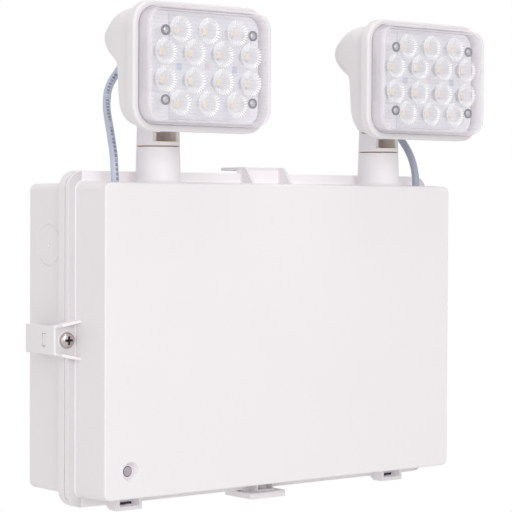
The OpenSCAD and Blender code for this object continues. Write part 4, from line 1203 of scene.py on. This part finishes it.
    def top_lug(self, draft: MeshDraft) -> None:
        """Plate, web and ribs of the lug in the middle of the top.

        Args:
            draft: the draft that takes them.
        """
        half, top, back, front, t = 14.1, 89.5, 22.1, 45.0, 1.8
        outline = [(-half, self.flange_front), (half, self.flange_front)]
        corner = [(half - 2 + 2 * cosine, back + 2 - 2 * sine) for cosine, sine in quarter(6)]
        outline += corner + [(-x, depth) for x, depth in reversed(corner)]
        draft.prism(outline, Axis.UP, top - t, top, 0.35)
        draft.block((-half, half), (self.gasket_front, self.flange_front), (79.5, top - 0.3), 0.25)
        foot = self.drafted(51.5)[1]
        for s in (-1, 1):
            low, high = sorted((s * half, s * (half - t)))
            draft.prism([(38.0, foot - 1.0), (51.5, foot - 1.0), (51.5, foot), (front, top), (38.0, top)],
                        Axis.ACROSS, low, high, 0.35)

    def bottom_lugs(self, draft: MeshDraft) -> None:
        """The plate and small box in the middle of the bottom, and the two corner lugs.

        Args:
            draft: the draft that takes them.
        """
        plate = rounded_outline(12.4, 12.15, 2.0, 6, (0.0, 37.15))
        draft.prism(plate, Axis.UP, -90.4, -87.1, 0.4)
        draft.block((-10.4, 10.4), (self.gasket_front, self.flange_front), (-87.5, -80.0), 0.2)
        draft.block((-6.1, 6.1), (39.5, 45.8), (-87.5, -80.0), 0.3)
        for side in Side:
            x = side.value * self.corner_lug_x
            outline = [(37.3, -84.5), (37.3, -86.4), (41.4, -88.7), (47.9, -88.7), (47.9, -79.8), (40.1, -79.8)]
            draft.prism(outline, Axis.ACROSS, x - 8.05, x + 8.05, 0.35)

    def screws(self) -> None:
        """The two screws in the side lugs, with painted shade in the bottoms of their cross recesses."""
        head = PanHead(4.05, 2.4, 2.0, 16.0)
        layout = Layout((("Columns", 2, 2 * self.screw_x, 1, 0.0),), self.flange_front + 0.3)
        screws = layout.fill("lug_screws", head.template("lug_screws template"), WARM_STEEL)
        dress(screws, WARM_STEEL, self.body, ["cover_screws"])
        cross_shade = layout.fill("lug_screw_crosses", head.cross("lug_screw_crosses template", 0.36, 0.62, 0.02), PAINTED_SHADE_FILL)
        dress(cross_shade, PAINTED_SHADE_FILL, self.body)

    def status_lamp(self) -> None:
        """The clear lamp in its conical recess."""
        r, rise = 2.5, 0.85
        profile = [(0.0, -8.0), (r, -8.0), (r, 0.0)]
        profile += [(r * math.cos(a), rise * math.sin(a)) for a in (0.3, 0.6, 0.9, 1.2, 1.4)]
        profile += [(0.0, rise)]
        dome = MeshDraft("status_lamp_dome")
        dome.revolve(profile, (self.lamp_at[0], self.front - 3.1, self.lamp_at[1]), Axis.DEEP, 40)
        dome.piece(GLOW, self.body, "clear_plastic", ["status_lamp"])


@dataclass
class PanHead:
    """A cross-recessed pan head screw that points forward."""

    head_r: float
    head_t: float
    shank_r: float
    length: float

    def template(self, name: str) -> Thing:
        """Make one screw at the origin with its seat at depth zero.

        Args:
            name: the object's name.

        Returns:
            The screw.
        """
        r, t = self.head_r, self.head_t
        draft = MeshDraft(name)
        draft.revolve([(0.0, -self.length), (self.shank_r, -self.length), (self.shank_r, -0.05), (r * 0.97, 0.0),
                       (r, 0.1 * t), (r, 0.42 * t), (0.96 * r, 0.62 * t), (0.84 * r, 0.82 * t),
                       (0.62 * r, 0.95 * t), (0.3 * r, t), (0.0, t)], ORIGIN, Axis.DEEP, 40)
        return soften(boolean(draft.object(), self.cross("cross", 0.35, 1.5)), 28)

    def cross(self, name: str, low: float, high: float, play: float = 0.0) -> Thing:
        """Make a cross-shaped block inside the head.

        Args:
            name: the object's name.
            low: where it starts, as a share of the head's height.
            high: where it ends.
            play: how much it is drawn in at the sides.

        Returns:
            The block.
        """
        r, t = self.head_r, self.head_t
        draft = MeshDraft(name)
        for a, b in ((0.55 * r, 0.15 * r), (0.15 * r, 0.55 * r)):
            draft.block((-a + play, a - play), (low * t, high * t), (-b + play, b - play), 0.0)
        return draft.object()


@dataclass(frozen=True)
class Layout:
    """Grids of points in a plane parallel to the wall, which Geometry Nodes fill with a template.

    A grid is a label, the number of columns, their full width, the number of rows and their full height.
    """

    grids: tuple[tuple[str, int, float, int, float], ...]
    depth: float
    centre: Flat = (0.0, 0.0)

    def tree(self, name: str, template: Thing, finish: Finish) -> bpy.types.NodeTree:
        """Build the tree that puts the template on every point.

        Args:
            name: the tree's name.
            template: the object to repeat.
            finish: the finish that the tree sets.

        Returns:
            The tree, with a length in millimetres on each input.
        """
        tree = bpy.data.node_groups.new(name, "GeometryNodeTree")
        for way in ("INPUT", "OUTPUT"):
            tree.interface.new_socket("Geometry", in_out=way, socket_type="NodeSocketGeometry")
        lengths = {"Centre X": self.centre[0], "Centre Z": self.centre[1], "Depth": self.depth}
        for label, _, width, _, height in self.grids:
            lengths.update({f"{label} width": width, f"{label} height": height})
        for label, length in lengths.items():
            tree.interface.new_socket(label, in_out="INPUT", socket_type="NodeSocketFloat").default_value = length
        net = Net(tree)
        given = net.new("NodeGroupInput").outputs
        template_in = net.new("GeometryNodeObjectInfo", Object=template).outputs["Geometry"]
        shift = net.new("ShaderNodeCombineXYZ", X=net.times(given["Centre X"], MM),
                        Y=net.times(given["Depth"], -MM), Z=net.times(given["Centre Z"], MM)).outputs[0]
        join = net.new("GeometryNodeJoinGeometry")
        for label, columns, _, rows, _ in self.grids:
            grid = net.new("GeometryNodeMeshGrid", Vertices_X=columns, Vertices_Y=max(rows, 2),
                           Size_X=net.times(given[f"{label} width"], MM),
                           Size_Y=net.times(given[f"{label} height"], MM))
            welded = net.new("GeometryNodeMergeByDistance", Geometry=grid.outputs["Mesh"], Distance=1e-5)
            turned = net.new("GeometryNodeTransform", Geometry=welded.outputs["Geometry"], Translation=shift,
                             Rotation=(math.pi / 2, 0.0, 0.0))
            put = net.new("GeometryNodeInstanceOnPoints", Points=turned.outputs["Geometry"], Instance=template_in)
            net.set(join, Geometry=put.outputs["Instances"])
        real = net.new("GeometryNodeRealizeInstances", Geometry=join.outputs["Geometry"])
        paint = net.new("GeometryNodeSetMaterial", Geometry=real.outputs["Geometry"], Material=finish.material())
        net.new("NodeGroupOutput", Geometry=paint.outputs["Geometry"])
        return tree

    def fill(self, name: str, template: Thing, finish: Finish) -> Thing:
        """Repeat a template over the grids.

        Args:
            name: the new piece's name.
            template: the object to repeat; it is deleted afterwards.
            finish: the finish that the tree sets.

        Returns:
            One plain mesh object with every repeat.
        """
        thing = link_in(name, bpy.data.meshes.new(name))
        tree = self.tree(name + " layout", template, finish)
        thing.modifiers.new("layout", "NODES").node_group = tree
        bake(thing)
        bpy.data.objects.remove(template, do_unlink=True)
        bpy.data.node_groups.remove(tree)
        return thing


# ---------------------------------------------------------------- lamp heads


@dataclass
class LampHead:
    """Everything that tilts: shell, bezel, lens, light source and gland."""

    side: Side
    centre_z: float = 137.6
    tilt: Flat = (51.3, 114.5)
    rim_back: float = 83.1
    rim_front: float = 84.5
    shell_back: float = 52.9
    shell_half: Flat = (39.3, 29.5)
    rim_half: Flat = (40.6, 30.7)
    rim_corner: float = 11.2
    knuckle: float = 6.1
    bezel_half: Flat = (42.15, 32.25)
    bezel_corner: float = 12.6
    bezel_back: float = 82.9
    bezel_front: float = 88.8
    bezel_edge: float = 1.5
    ledge: float = 86.7
    lens_half: Flat = (39.0, 29.15)
    lens_corner: float = 9.0
    lens_back: float = 85.0
    lens_front: float = 97.4
    lens_wall: float = 1.5
    lens_edges: Flat = (2.8, 1.6)
    plate_depths: Flat = (85.05, 86.9)
    board_front: float = 88.5
    board_half: Flat = (36.0, 26.0)
    led_pitch: float = 17.85
    led_rows: Flat = (6.85, 18.1)
    optic_r: float = 6.7
    screw_spacing: Flat = (54.8, 34.2)
    screw_seat: float = 94.6

    # Shares of the shell's length, low and high edges, half width, and the two corner radii
    stations: tuple[tuple[float, ...], ...] = (
        (0.0, 0.0, 1.0, 1.0, 0.15, 0.17), (0.2, 0.004, 1.0, 0.998, 0.15, 0.165),
        (0.3, 0.015, 0.998, 0.997, 0.15, 0.155), (0.35, 0.04, 0.996, 0.995, 0.15, 0.15),
        (0.385, 0.1, 0.995, 0.994, 0.15, 0.145), (0.405, 0.2, 0.993, 0.992, 0.16, 0.14),
        (0.425, 0.33, 0.991, 0.991, 0.16, 0.14), (0.46, 0.41, 0.988, 0.989, 0.15, 0.14),
        (0.53, 0.475, 0.982, 0.984, 0.14, 0.14), (0.62, 0.525, 0.97, 0.977, 0.13, 0.14),
        (0.74, 0.56, 0.95, 0.963, 0.13, 0.15), (0.85, 0.595, 0.915, 0.945, 0.13, 0.15),
        (0.94, 0.64, 0.87, 0.915, 0.11, 0.125), (0.985, 0.685, 0.826, 0.875, 0.075, 0.085),
        (1.0, 0.72, 0.795, 0.82, 0.025, 0.03))

    @property
    def body(self) -> str:
        """The CAD body of this head."""
        return f"{self.side.word}_head"

    @property
    def x(self) -> float:
        """The head's middle along X."""
        return self.side.value * POST_X

    @property
    def gland_x(self) -> float:
        """The cable's place along X at the shell's back."""
        return self.x + self.side.value * GLAND[0]

    def node(self, name: str) -> str:
        """A CAD node's full name on this side."""
        return f"{self.side.word}_{name}"

    def rim(self, half: Flat, corner: float) -> Rim:
        """A rounded rectangle round the head's middle."""
        return Rim(half, corner, (self.x, self.centre_z), 14, 0.3)

    def put(self, thing: Thing, finish: Finish, slot: str, *names: str) -> None:
        """Dress a piece of this head, which stands for the head's nodes of these names."""
        dress(thing, finish, self.body, [self.node(name) for name in names])

    def build(self) -> None:
        """Make every piece of the head."""
        self.housing()
        self.gasket()
        self.bezel()
        self.lens()
        self.light_source()
        self.gland()

    def spline(self, share: float) -> tuple[float, ...]:
        """Station values at any share of the length, on a smooth curve through the stations.

        Args:
            share: share of the shell's length, from nought at the rim to one at the back.

        Returns:
            The share and the five values of a station.
        """
        rows = self.stations
        k = max(i for i in range(len(rows) - 1) if rows[i][0] <= share + 1e-9)
        t = (share - rows[k][0]) / (rows[k + 1][0] - rows[k][0])
        before, a, b, after = rows[max(k - 1, 0)], rows[k], rows[k + 1], rows[min(k + 2, len(rows) - 1)]
        values = [share]
        for c in range(1, 6):
            span = b[0] - a[0]
            slope_a = (b[c] - before[c]) / max(b[0] - before[0], 1e-6) * span
            slope_b = (after[c] - a[c]) / max(after[0] - a[0], 1e-6) * span
            if k == 0:
                slope_a = b[c] - a[c]
            if k == len(rows) - 2:
                slope_b = b[c] - a[c]
            values.append(hermite(t, a[c], slope_a, b[c], slope_b))
        return tuple(values)

    def shell_ring(self, share: float) -> list[Vector]:
        """One ring of the rear shell.

        Args:
            share: share of the shell's length.

        Returns:
            The ring's points in metres.
        """
        _, low, high, wide, low_r, high_r = self.spline(share)
        height = 2 * self.shell_half[1]
        floor = self.centre_z - self.shell_half[1]
        z0, z1 = floor + low * height, floor + high * height
        most = (z1 - z0) / 2 - 0.3
        half_w = wide * self.shell_half[0]
        radii = (min(high_r * height, most), min(low_r * height, most))
        depth = self.rim_back - share * (self.rim_back - self.shell_back)
        points, steps = [], 12
        for corner in range(4):
            r = radii[0] if corner < 2 else radii[1]
            sx = 1 if corner in (0, 3) else -1
            cz = z1 - r if corner < 2 else z0 + r
            for i in range(steps + 1):
                angle = math.radians(90 * (corner + i / steps))
                points.append(place((self.x + sx * (half_w - r) + r * math.cos(angle), cz + r * math.sin(angle)),
                                    depth, Axis.DEEP))
        return points

    def housing(self) -> None:
        """The stepped rear shell, its rim, tilt knuckle and gland seat."""
        shares = []
        for a, b in zip(self.stations, self.stations[1:]):
            shares += [a[0] + (b[0] - a[0]) * i / 4 for i in range(4)]
        shares.append(1.0)
        draft = MeshDraft(self.node("rear_shell"))
        draft.loft([self.shell_ring(s) for s in reversed(shares)])
        draft.loft(self.rim(self.rim_half, self.rim_corner).rings((self.rim_back, 0.0), (self.rim_front, 0.0)))
        depth, z = self.tilt
        half = self.knuckle
        draft.prism([(depth, z - 6.0), (73.4, z - 6.0), (73.4, z + 6.0), (depth, z + 6.0)], Axis.ACROSS,
                    self.x - half, self.x + half, 0.5)
        draft.revolve([(0.0, -half), (6.4, -half), (6.8, -half + 0.4), (6.8, half - 0.4), (6.4, half), (0.0, half)],
                      (self.x, depth, z), Axis.ACROSS, 48)
        draft.revolve([(0.0, -8.0), (5.9, -8.0), (5.6, -0.3), (5.3, 0.0), (0.0, 0.0)],
                      (self.gland_x, self.shell_back, GLAND[1]), Axis.DEEP, 40)
        self.put(soften(draft.object(), 40), WHITE, "white_shell", "head_housing")

    def gasket(self) -> None:
        """The thin seal behind the lens."""
        back, front, width = self.rim_front, self.rim_front + 0.48, 3.0
        rim = self.rim((self.rim_half[0] - 0.3, self.rim_half[1] - 0.3), self.rim_corner - 0.3)
        draft = MeshDraft(self.node("lens_seal"))
        draft.loft(rim.rings((back, 0.0), (front, 0.0), (front, width), (back, width)), closed=True)
        self.put(soften(draft.object()), PALE_SEAL, "seal_rubber", "head_gasket")

    def bezel(self) -> None:
        """The frame that clips the lens on, with well rounded edges."""
        back, front, r = self.bezel_back, self.bezel_front, self.bezel_edge
        opening, wall = self.bezel_half[0] - self.lens_half[0] - 0.25, 1.35
        spots = [(back, 1.0), (back, 0.3), (back + 0.1, 0.08), (back + 0.35, 0.0)]
        spots += [(front - r + r * sine, r * (1 - cosine)) for cosine, sine in quarter(6)]
        spots += [(front, opening - 0.5), (front - 0.12, opening - 0.12), (front - 0.5, opening),
                  (self.ledge, opening), (self.ledge, wall), (back, wall)]
        draft = MeshDraft(self.node("bezel_frame"))
        draft.loft(self.rim(self.bezel_half, self.bezel_corner).rings(*spots), closed=True)
        self.put(soften(draft.object(), 50), BEZEL, "white_shell", "head_bezel")

    def lens(self) -> None:
        """The clear box lens with a rounded front edge, open towards the light source."""
        front, wall, back = self.lens_front, self.lens_wall, self.lens_back
        outer_r, inner_r = self.lens_edges
        outer = [(front - outer_r + outer_r * sine, outer_r * (1 - cosine)) for cosine, sine in quarter(8)]
        inner = [(front - wall - inner_r + inner_r * sine, wall + inner_r * (1 - cosine))
                 for cosine, sine in reversed(quarter(8))]
        box = self.rim(self.lens_half, self.lens_corner)
        rings = box.rings(*inner, (back, wall))
        rings += self.rim(self.rim_half, self.rim_corner).rings((back, 0.0), (self.ledge - 0.1, 0.0))
        rings += box.rings((self.ledge - 0.05, 0.0), *outer)
        draft = MeshDraft(self.node("box_lens")).loft(rings)
        self.put(soften(draft.object(), 50), LENSES[self.side], "clear_plastic", "head_lens")

    def light_source(self) -> None:
        """Plate, notched board, chips, collimators, screws and the small parts between the rows."""
        (w, h), (plate_back, plate_front) = self.board_half, self.plate_depths
        plate = MeshDraft(self.node("heat_spreader"))
        plate.loft(self.rim((w + 1.3, h + 1.4), 7.2).rings((plate_back, 0.0), (plate_front, 0.0)))
        self.put(soften(plate.object()), PLATE, "heat_metal", "heat_plate")
        nw, nh = 16.1, 13.6
        outline = []
        for sx, sz in ((1, 1), (-1, 1), (-1, -1), (1, -1)):
            corner = [(w, h - nh), (w - nw, h - nh), (w - nw, h)]
            outline += [(self.x + sx * x, self.centre_z + sz * z) for x, z in corner[::sx * sz]]
        board = MeshDraft(self.node("notched_board"))
        board.prism(outline, Axis.DEEP, plate_front, self.board_front, 0.15)
        self.put(soften(board.object()), BOARD, "white_board", "led_board")
        self.chips()
        self.optics()
        self.small_parts()
        self.pillars()

    def pillars(self) -> None:
        """Clear pillars in the corners, each with a screw and a dark ring of painted shade round its head."""
        wide, high = self.screw_spacing
        layout = Layout((("Columns", 2, wide, 2, high),), self.screw_seat, (self.x, self.centre_z))
        screw = PanHead(1.7, 0.9, 0.6, 2.0).template(self.node("board_screw_set template"))
        self.put(layout.fill(self.node("board_screw_set"), screw, STEEL), STEEL, "screw_steel", "board_screws")
        # The dark ring is painted shade round each screw head
        for name, profile, finish, slot in (
                ("screw_rims", [(1.75, 0.0), (2.7, 0.0), (2.65, 0.8), (2.3, 0.95), (1.8, 0.7), (1.75, 0.0)], SCREW_GAP_SHADE,
                 "black_plastic"),
                ("screw_pillars", [(0.0, -7.9), (1.5, -7.9), (1.4, -0.02), (0.0, -0.02)], TRAY, "clear_plastic")):
            template = MeshDraft(name + " template").revolve(profile, ORIGIN, Axis.DEEP, 40).object()
            self.put(soften(layout.fill(self.node(name), template, finish)), finish, slot)

    @property
    def lights(self) -> Layout:
        """The light points as two grids: the two middle rows, and the top and bottom rows."""
        near, far = self.led_rows
        return Layout((("Middle", 4, 3 * self.led_pitch, 2, 2 * near), ("Outer", 3, 2 * self.led_pitch, 2, 2 * far)),
                      self.board_front, (self.x, self.centre_z))

    def chips(self) -> None:
        """Light chips: a white case with a yellow window."""
        case = MeshDraft("chip case").block((-1.4, 1.4), (0.0, 2.6), (-1.75, 1.75), 0.12).object()
        self.put(self.lights.fill(self.node("chip_cases"), case, CHIP_CASE), CHIP_CASE, "white_board")
        window = MeshDraft("chip window").block((-1.05, 1.05), (2.2, 2.75), (-1.6, 1.6), 0.25).object()
        self.put(self.lights.fill(self.node("chip_windows"), window, PHOSPHOR), PHOSPHOR, "led_phosphor", "led_chips")

    def optics(self) -> None:
        """Collimators: faceted cones with a dished front round a small middle lens."""
        profile = [(2.4, 0.0), (3.6, 0.0), (4.5, 1.4), (5.3, 3.0), (6.1, 4.6), (6.6, 5.9), (6.7, 6.1),
                   (6.1, 6.1), (4.7, 5.3), (3.1, 4.2), (2.7, 4.5), (1.6, 5.1), (0.0, 5.3)]
        cone = MeshDraft("collimator template").revolve(profile, ORIGIN, Axis.DEEP, 48).object()
        uv = cone.data.uv_layers.new(name="UVMap")
        for face in cone.data.polygons:
            spots = [cone.data.vertices[i].co for i in face.vertices]
            turns = [math.atan2(spot.z, spot.x) / (2 * math.pi) + 0.5 for spot in spots]
            crossing = max(turns) - min(turns) > 0.5
            for loop, spot, turn in zip(face.loop_indices, spots, turns):
                share = math.hypot(spot.x, spot.z) / (self.optic_r * MM)
                uv.data[loop].uv = (turn + 1.0 if crossing and turn < 0.5 else turn, share)
        cone.data.polygons.foreach_set("use_smooth", [True] * len(cone.data.polygons))
        self.put(self.lights.fill(self.node("collimator_set"), cone, OPTIC), OPTIC, "clear_plastic", "collimators")

    def small_parts(self) -> None:
        """Small surface parts between the rows of light points."""
        for name, finish, places in (("blue_parts", BLUE_MARK, ((-14.4, 0.0), (20.5, 0.0))),
                                     ("pink_parts", PINK_MARK, ((3.2, 1.2),))):
            draft = MeshDraft(self.node(name))
            for dx, dz in places:
                x, z = self.x + dx, self.centre_z + dz
                draft.block((x - 1.4, x + 1.4), (self.board_front - 0.05, self.board_front + 0.55),
                            (z - 1.7, z + 1.7), 0.12)
            self.put(soften(draft.object()), finish, "white_board")

    def gland(self) -> None:
        """The collar through which the cable leaves the head."""
        draft = MeshDraft(self.node("cable_collar"))
        draft.revolve([(0.0, -6.0), (3.0, -6.0), (3.0, 0.0), (4.7, 0.0), (5.0, 0.3), (5.0, 1.7), (4.7, 2.0),
                       (3.4, 2.05), (3.2, 2.3), (3.0, 4.6), (2.7, 5.0), (0.0, 5.0)],
                      (self.gland_x, self.shell_back, GLAND[1]), Axis.DEEP, 40)
        collar = outward(draft.object(), -self.shell_back * MM)
        self.put(soften(collar), WHITE, "white_shell", "cable_gland")


# ---------------------------------------------------------------- yokes and cables


@dataclass
class SwivelYoke:
    """The forked piece on each post, with its bolts."""

    side: Side

    def build(self) -> None:
        """Round the fork's edges and dress the fastenings."""
        word = self.side.word
        fork = copy_of(f"{word}_yoke", f"{word}_fork", 0.3)
        finish = like_white(ForkShell, f"{WHITE.name}, {word} fork", centre_x=self.side.value * POST_X)
        dress(soften(fork), finish, f"{word}_yoke", [f"{word}_yoke"])
        for node in ("swivel_washer", "swivel_screw", "tilt_bolt", "tilt_nut"):
            thing = copy_of(f"{word}_{node}", f"{word}_{node}_plated", 0.1)
            dress(soften(thing), STEEL, f"{word}_yoke", [f"{word}_{node}"])


@dataclass
class LampCable:
    """The cable from the cover's top to the back of a head, in two stretches."""

    side: Side
    radius: float = 2.05
    split: int = 8
    # Outward from the lamp, depth and height, as in the part's source
    route: tuple[Point, ...] = (
        (28.0, 52.6, 77.3), (28.0, 52.6, 82.0), (27.9, 52.0, 88.0), (27.4, 50.6, 94.0), (26.6, 48.0, 100.0),
        (25.2, 44.4, 106.0), (23.4, 40.0, 112.0), (21.4, 35.6, 118.0), (19.2, 32.4, 123.0), (16.6, 29.6, 128.0),
        (13.4, 27.8, 132.6), (10.0, 27.4, 137.0), (7.0, 29.0, 142.0), (4.8, 33.0, 147.0), (3.4, 39.0, 150.4),
        (3.0, 47.9, 151.0))

    def points(self) -> list[Vector]:
        """The route in metres."""
        s = self.side.value
        return [Vector((s * (POST_X + out), -depth, z)) * MM for out, depth, z in self.route]

    def smooth(self, first: int, last: int, steps: int = 5) -> list[Vector]:
        """Points on a smooth curve through a stretch of the route.

        Args:
            first: the stretch's first point in the route.
            last: its last point.
            steps: points from one route point to the next.

        Returns:
            The points in metres.
        """
        pts = self.points()
        ends = (Vector((0.0, 0.0, 1.0)), Vector((0.0, -1.0, 0.0)))

        def slope(i: int) -> Vector:
            """Find the curve's direction at a route point, scaled to the spacing.

            Args:
                i: the route point.

            Returns:
                The direction.
            """
            if i == 0:
                return ends[0] * (pts[1] - pts[0]).length
            if i == len(pts) - 1:
                return ends[1] * (pts[-1] - pts[-2]).length
            return (pts[i + 1] - pts[i - 1]) * 0.5

        path = []
        for k in range(first, last):
            for i in range(steps):
                path.append(hermite(i / steps, pts[k], slope(k), pts[k + 1], slope(k + 1)))
        path.append(pts[last])
        return path

    def tube(self, name: str, path: Sequence[Vector], start_length: float) -> Thing:
        """A round tube along a path, with its UV map in turns and millimetres.

        Args:
            name: the object's name.
            path: points on the middle line.
            start_length: the cable's length before the path, in millimetres.

        Returns:
            The tube.
        """
        mesh = bpy.data.meshes.new(name)
        bm = bmesh.new()
        uv = bm.loops.layers.uv.new("UVMap")
        sides, rings, lengths = 28, [], []
        travelled = start_length
        for i, spot in enumerate(path):
            if i:
                travelled += (spot - path[i - 1]).length / MM
            ahead = (path[min(i + 1, len(path) - 1)] - path[max(i - 1, 0)]).normalized()
            u = ahead.cross(Vector((1.0, 0.0, 0.0))).normalized()
            v = ahead.cross(u)
            rings.append([bm.verts.new(spot + self.radius * MM * (u * math.cos(a) + v * math.sin(a)))
                          for a in (2 * math.pi * k / sides for k in range(sides))])
            lengths.append(travelled)
        for k in range(len(rings) - 1):
            for i in range(sides):
                j = (i + 1) % sides
                face = bm.faces.new((rings[k][i], rings[k + 1][i], rings[k + 1][j], rings[k][j]))
                for loop, (a, b) in zip(face.loops, ((i, k), (i, k + 1), (i + 1, k + 1), (i + 1, k))):
                    loop[uv].uv = (a / sides, lengths[b])
        bm.faces.new(rings[0])
        bm.faces.new(list(reversed(rings[-1])))
        bmesh.ops.recalc_face_normals(bm, faces=bm.faces)
        for face in bm.faces:
            face.smooth = len(face.verts) == 4
        bm.to_mesh(mesh)
        bm.free()
        return link_in(name, mesh)

    def build(self) -> None:
        word = self.side.word
        total = 0.0
        for part, (first, last), bodies in (("lower", (0, self.split), ("enclosure", f"{word}_yoke")),
                                            ("upper", (self.split, len(self.route) - 1),
                                             (f"{word}_yoke", f"{word}_head"))):
            path = self.smooth(first, last)
            length = sum((b - a).length for a, b in zip(path, path[1:]))
            thing = self.tube(f"{word}_lead_{part}", path, total / MM)
            total += length
            thing.data.materials.append(JACKETS[self.side].material())
            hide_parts(f"{word}_cable_{part}")
            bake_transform(thing)
            LOG.info("%s is %.0f mm long", thing.name, length / MM)


@dataclass
class Inside:
    """The hidden fittings, which keep their CAD shapes and get plain finishes."""

    finishes: tuple[tuple[str, Finish], ...] = (
        ("status_lamp_holder", BLACK), ("battery_tray", BLACK), ("battery_cells", CAN), ("battery_strap", BLACK),
        ("charger_board", GREEN), ("charger_board_screws", STEEL), ("transformer", CORE), ("relay", BLACK),
        ("capacitors", CAN), ("terminal_block", GREEN), ("terminal_screws", STEEL),
        ("left_cable_bush", SEAL), ("right_cable_bush", SEAL))

    def build(self) -> None:
        """Assign each finish to its node."""
        for node, finish in self.finishes:
            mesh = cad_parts[node].data
            mesh.materials.clear()
            mesh.materials.append(finish.material())
            LOG.info("%s keeps its CAD shape", node)


# ---------------------------------------------------------------- studio


@dataclass
class Studio:
    """Camera, lamps, floor and background."""

    eye: Point = (-677.8, -876.3, 68.6)
    yaw: float = 38.92
    pitch: float = -1.46
    roll: float = 0.27
    focal: float = 138.49
    floor_z: float = -330.0
    ambient: float = 0.62
    lamps: tuple[tuple[str, Point, float, float, Colour], ...] = (
        ("key", (-350.0, -1500.0, 600.0), 900.0, 8.0, (1.0, 1.0, 1.0)),
        ("fill", (-1500.0, -700.0, 300.0), 1200.0, 4.3, (1.0, 0.972, 0.985)),
        ("top", (0.0, -300.0, 1400.0), 900.0, 3.8, (1.0, 1.0, 1.0)))

    def camera(self) -> None:
        """The camera of the photograph's view."""
        data = bpy.data.cameras.new("Photo camera")
        data.lens = self.focal
        data.sensor_width = 36.0
        data.clip_start = 0.01
        data.clip_end = 50.0
        camera = link_in("Photo camera", data)
        turn = (Matrix.Rotation(math.radians(-self.yaw), 4, "Z")
                @ Matrix.Rotation(math.radians(90 + self.pitch), 4, "X")
                @ Matrix.Rotation(math.radians(self.roll), 4, "Z"))
        camera.matrix_world = Matrix.Translation(Vector(self.eye) * MM) @ turn
        bpy.context.scene.camera = camera

    def light(self) -> None:
        """Soft area lamps that face the object, and an even white surround."""
        for name, spot, size, power, tint in self.lamps:
            data = bpy.data.lights.new(name, "AREA")
            data.shape = "SQUARE"
            data.size = size * MM
            data.energy = power
            data.color = tint
            lamp = link_in(name, data)
            lamp.location = Vector(spot) * MM
            aim = Vector((0.0, -0.04, 0.03)) - lamp.location
            lamp.rotation_euler = aim.to_track_quat("-Z", "Y").to_euler()
        world = bpy.data.worlds.new("White surround")
        world.use_nodes = True
        net = Net(world.node_tree)
        plain = net.set(net.tree.nodes["Background"], Color=(1.0, 1.0, 1.0), Strength=self.ambient)
        seen = net.new("ShaderNodeBackground", Color=(1.0, 1.0, 1.0), Strength=1.0)
        self.choose(net, plain, seen, net.tree.nodes["World Output"])
        bpy.context.scene.world = world

    @staticmethod
    def choose(net: Net, plain: Node, seen: Node, output: Node) -> None:
        """Show one shader to the camera, in reflections and through glass, and light with the other.

        Args:
            net: the nodes.
            plain: the shader that lights the scene.
            seen: the shader that is seen.
            output: the tree's output node.
        """
        ray = net.new("ShaderNodeLightPath").outputs
        first = net.math("MAXIMUM", ray["Is Camera Ray"], ray["Is Glossy Ray"])
        mix = net.new("ShaderNodeMixShader", Fac=net.math("MAXIMUM", first, ray["Is Transmission Ray"]))
        net.feed(plain.outputs[0], mix.inputs[1])
        net.feed(seen.outputs[0], mix.inputs[2])
        net.set(output, Surface=mix.outputs[0])

    def floor(self) -> None:
        """A plain white floor well below the object."""
        bpy.ops.mesh.primitive_plane_add(size=12.0, location=(0.0, 0.0, self.floor_z * MM))
        plane = bpy.context.object
        plane.name = "floor"
        made = bpy.data.materials.new("Plain floor")
        made.use_nodes = True
        net = Net(made.node_tree)
        shader = net.set(net.tree.nodes["Principled BSDF"], Base_Color=(0.86, 0.86, 0.86), Roughness=0.9)
        self.choose(net, shader, net.new("ShaderNodeEmission", Strength=1.0), net.tree.nodes["Material Output"])
        plane.data.materials.append(made)

    def build(self) -> None:
        """Make the lamps and the floor, and set the view transform."""
        self.light()
        self.floor()
        bpy.context.scene.view_settings.view_transform = "Standard"


def main() -> None:
    """Build the studio, the cables and then every other piece in order."""
    logging.basicConfig(level=logging.INFO, format="%(message)s")
    studio = Studio()
    studio.camera()
    for side in Side:
        LampCable(side).build()
    Enclosure().build()
    for side in Side:
        SwivelYoke(side).build()
        LampHead(side).build()
    Inside().build()
    studio.build()


if __name__ == "__main__":
    main()
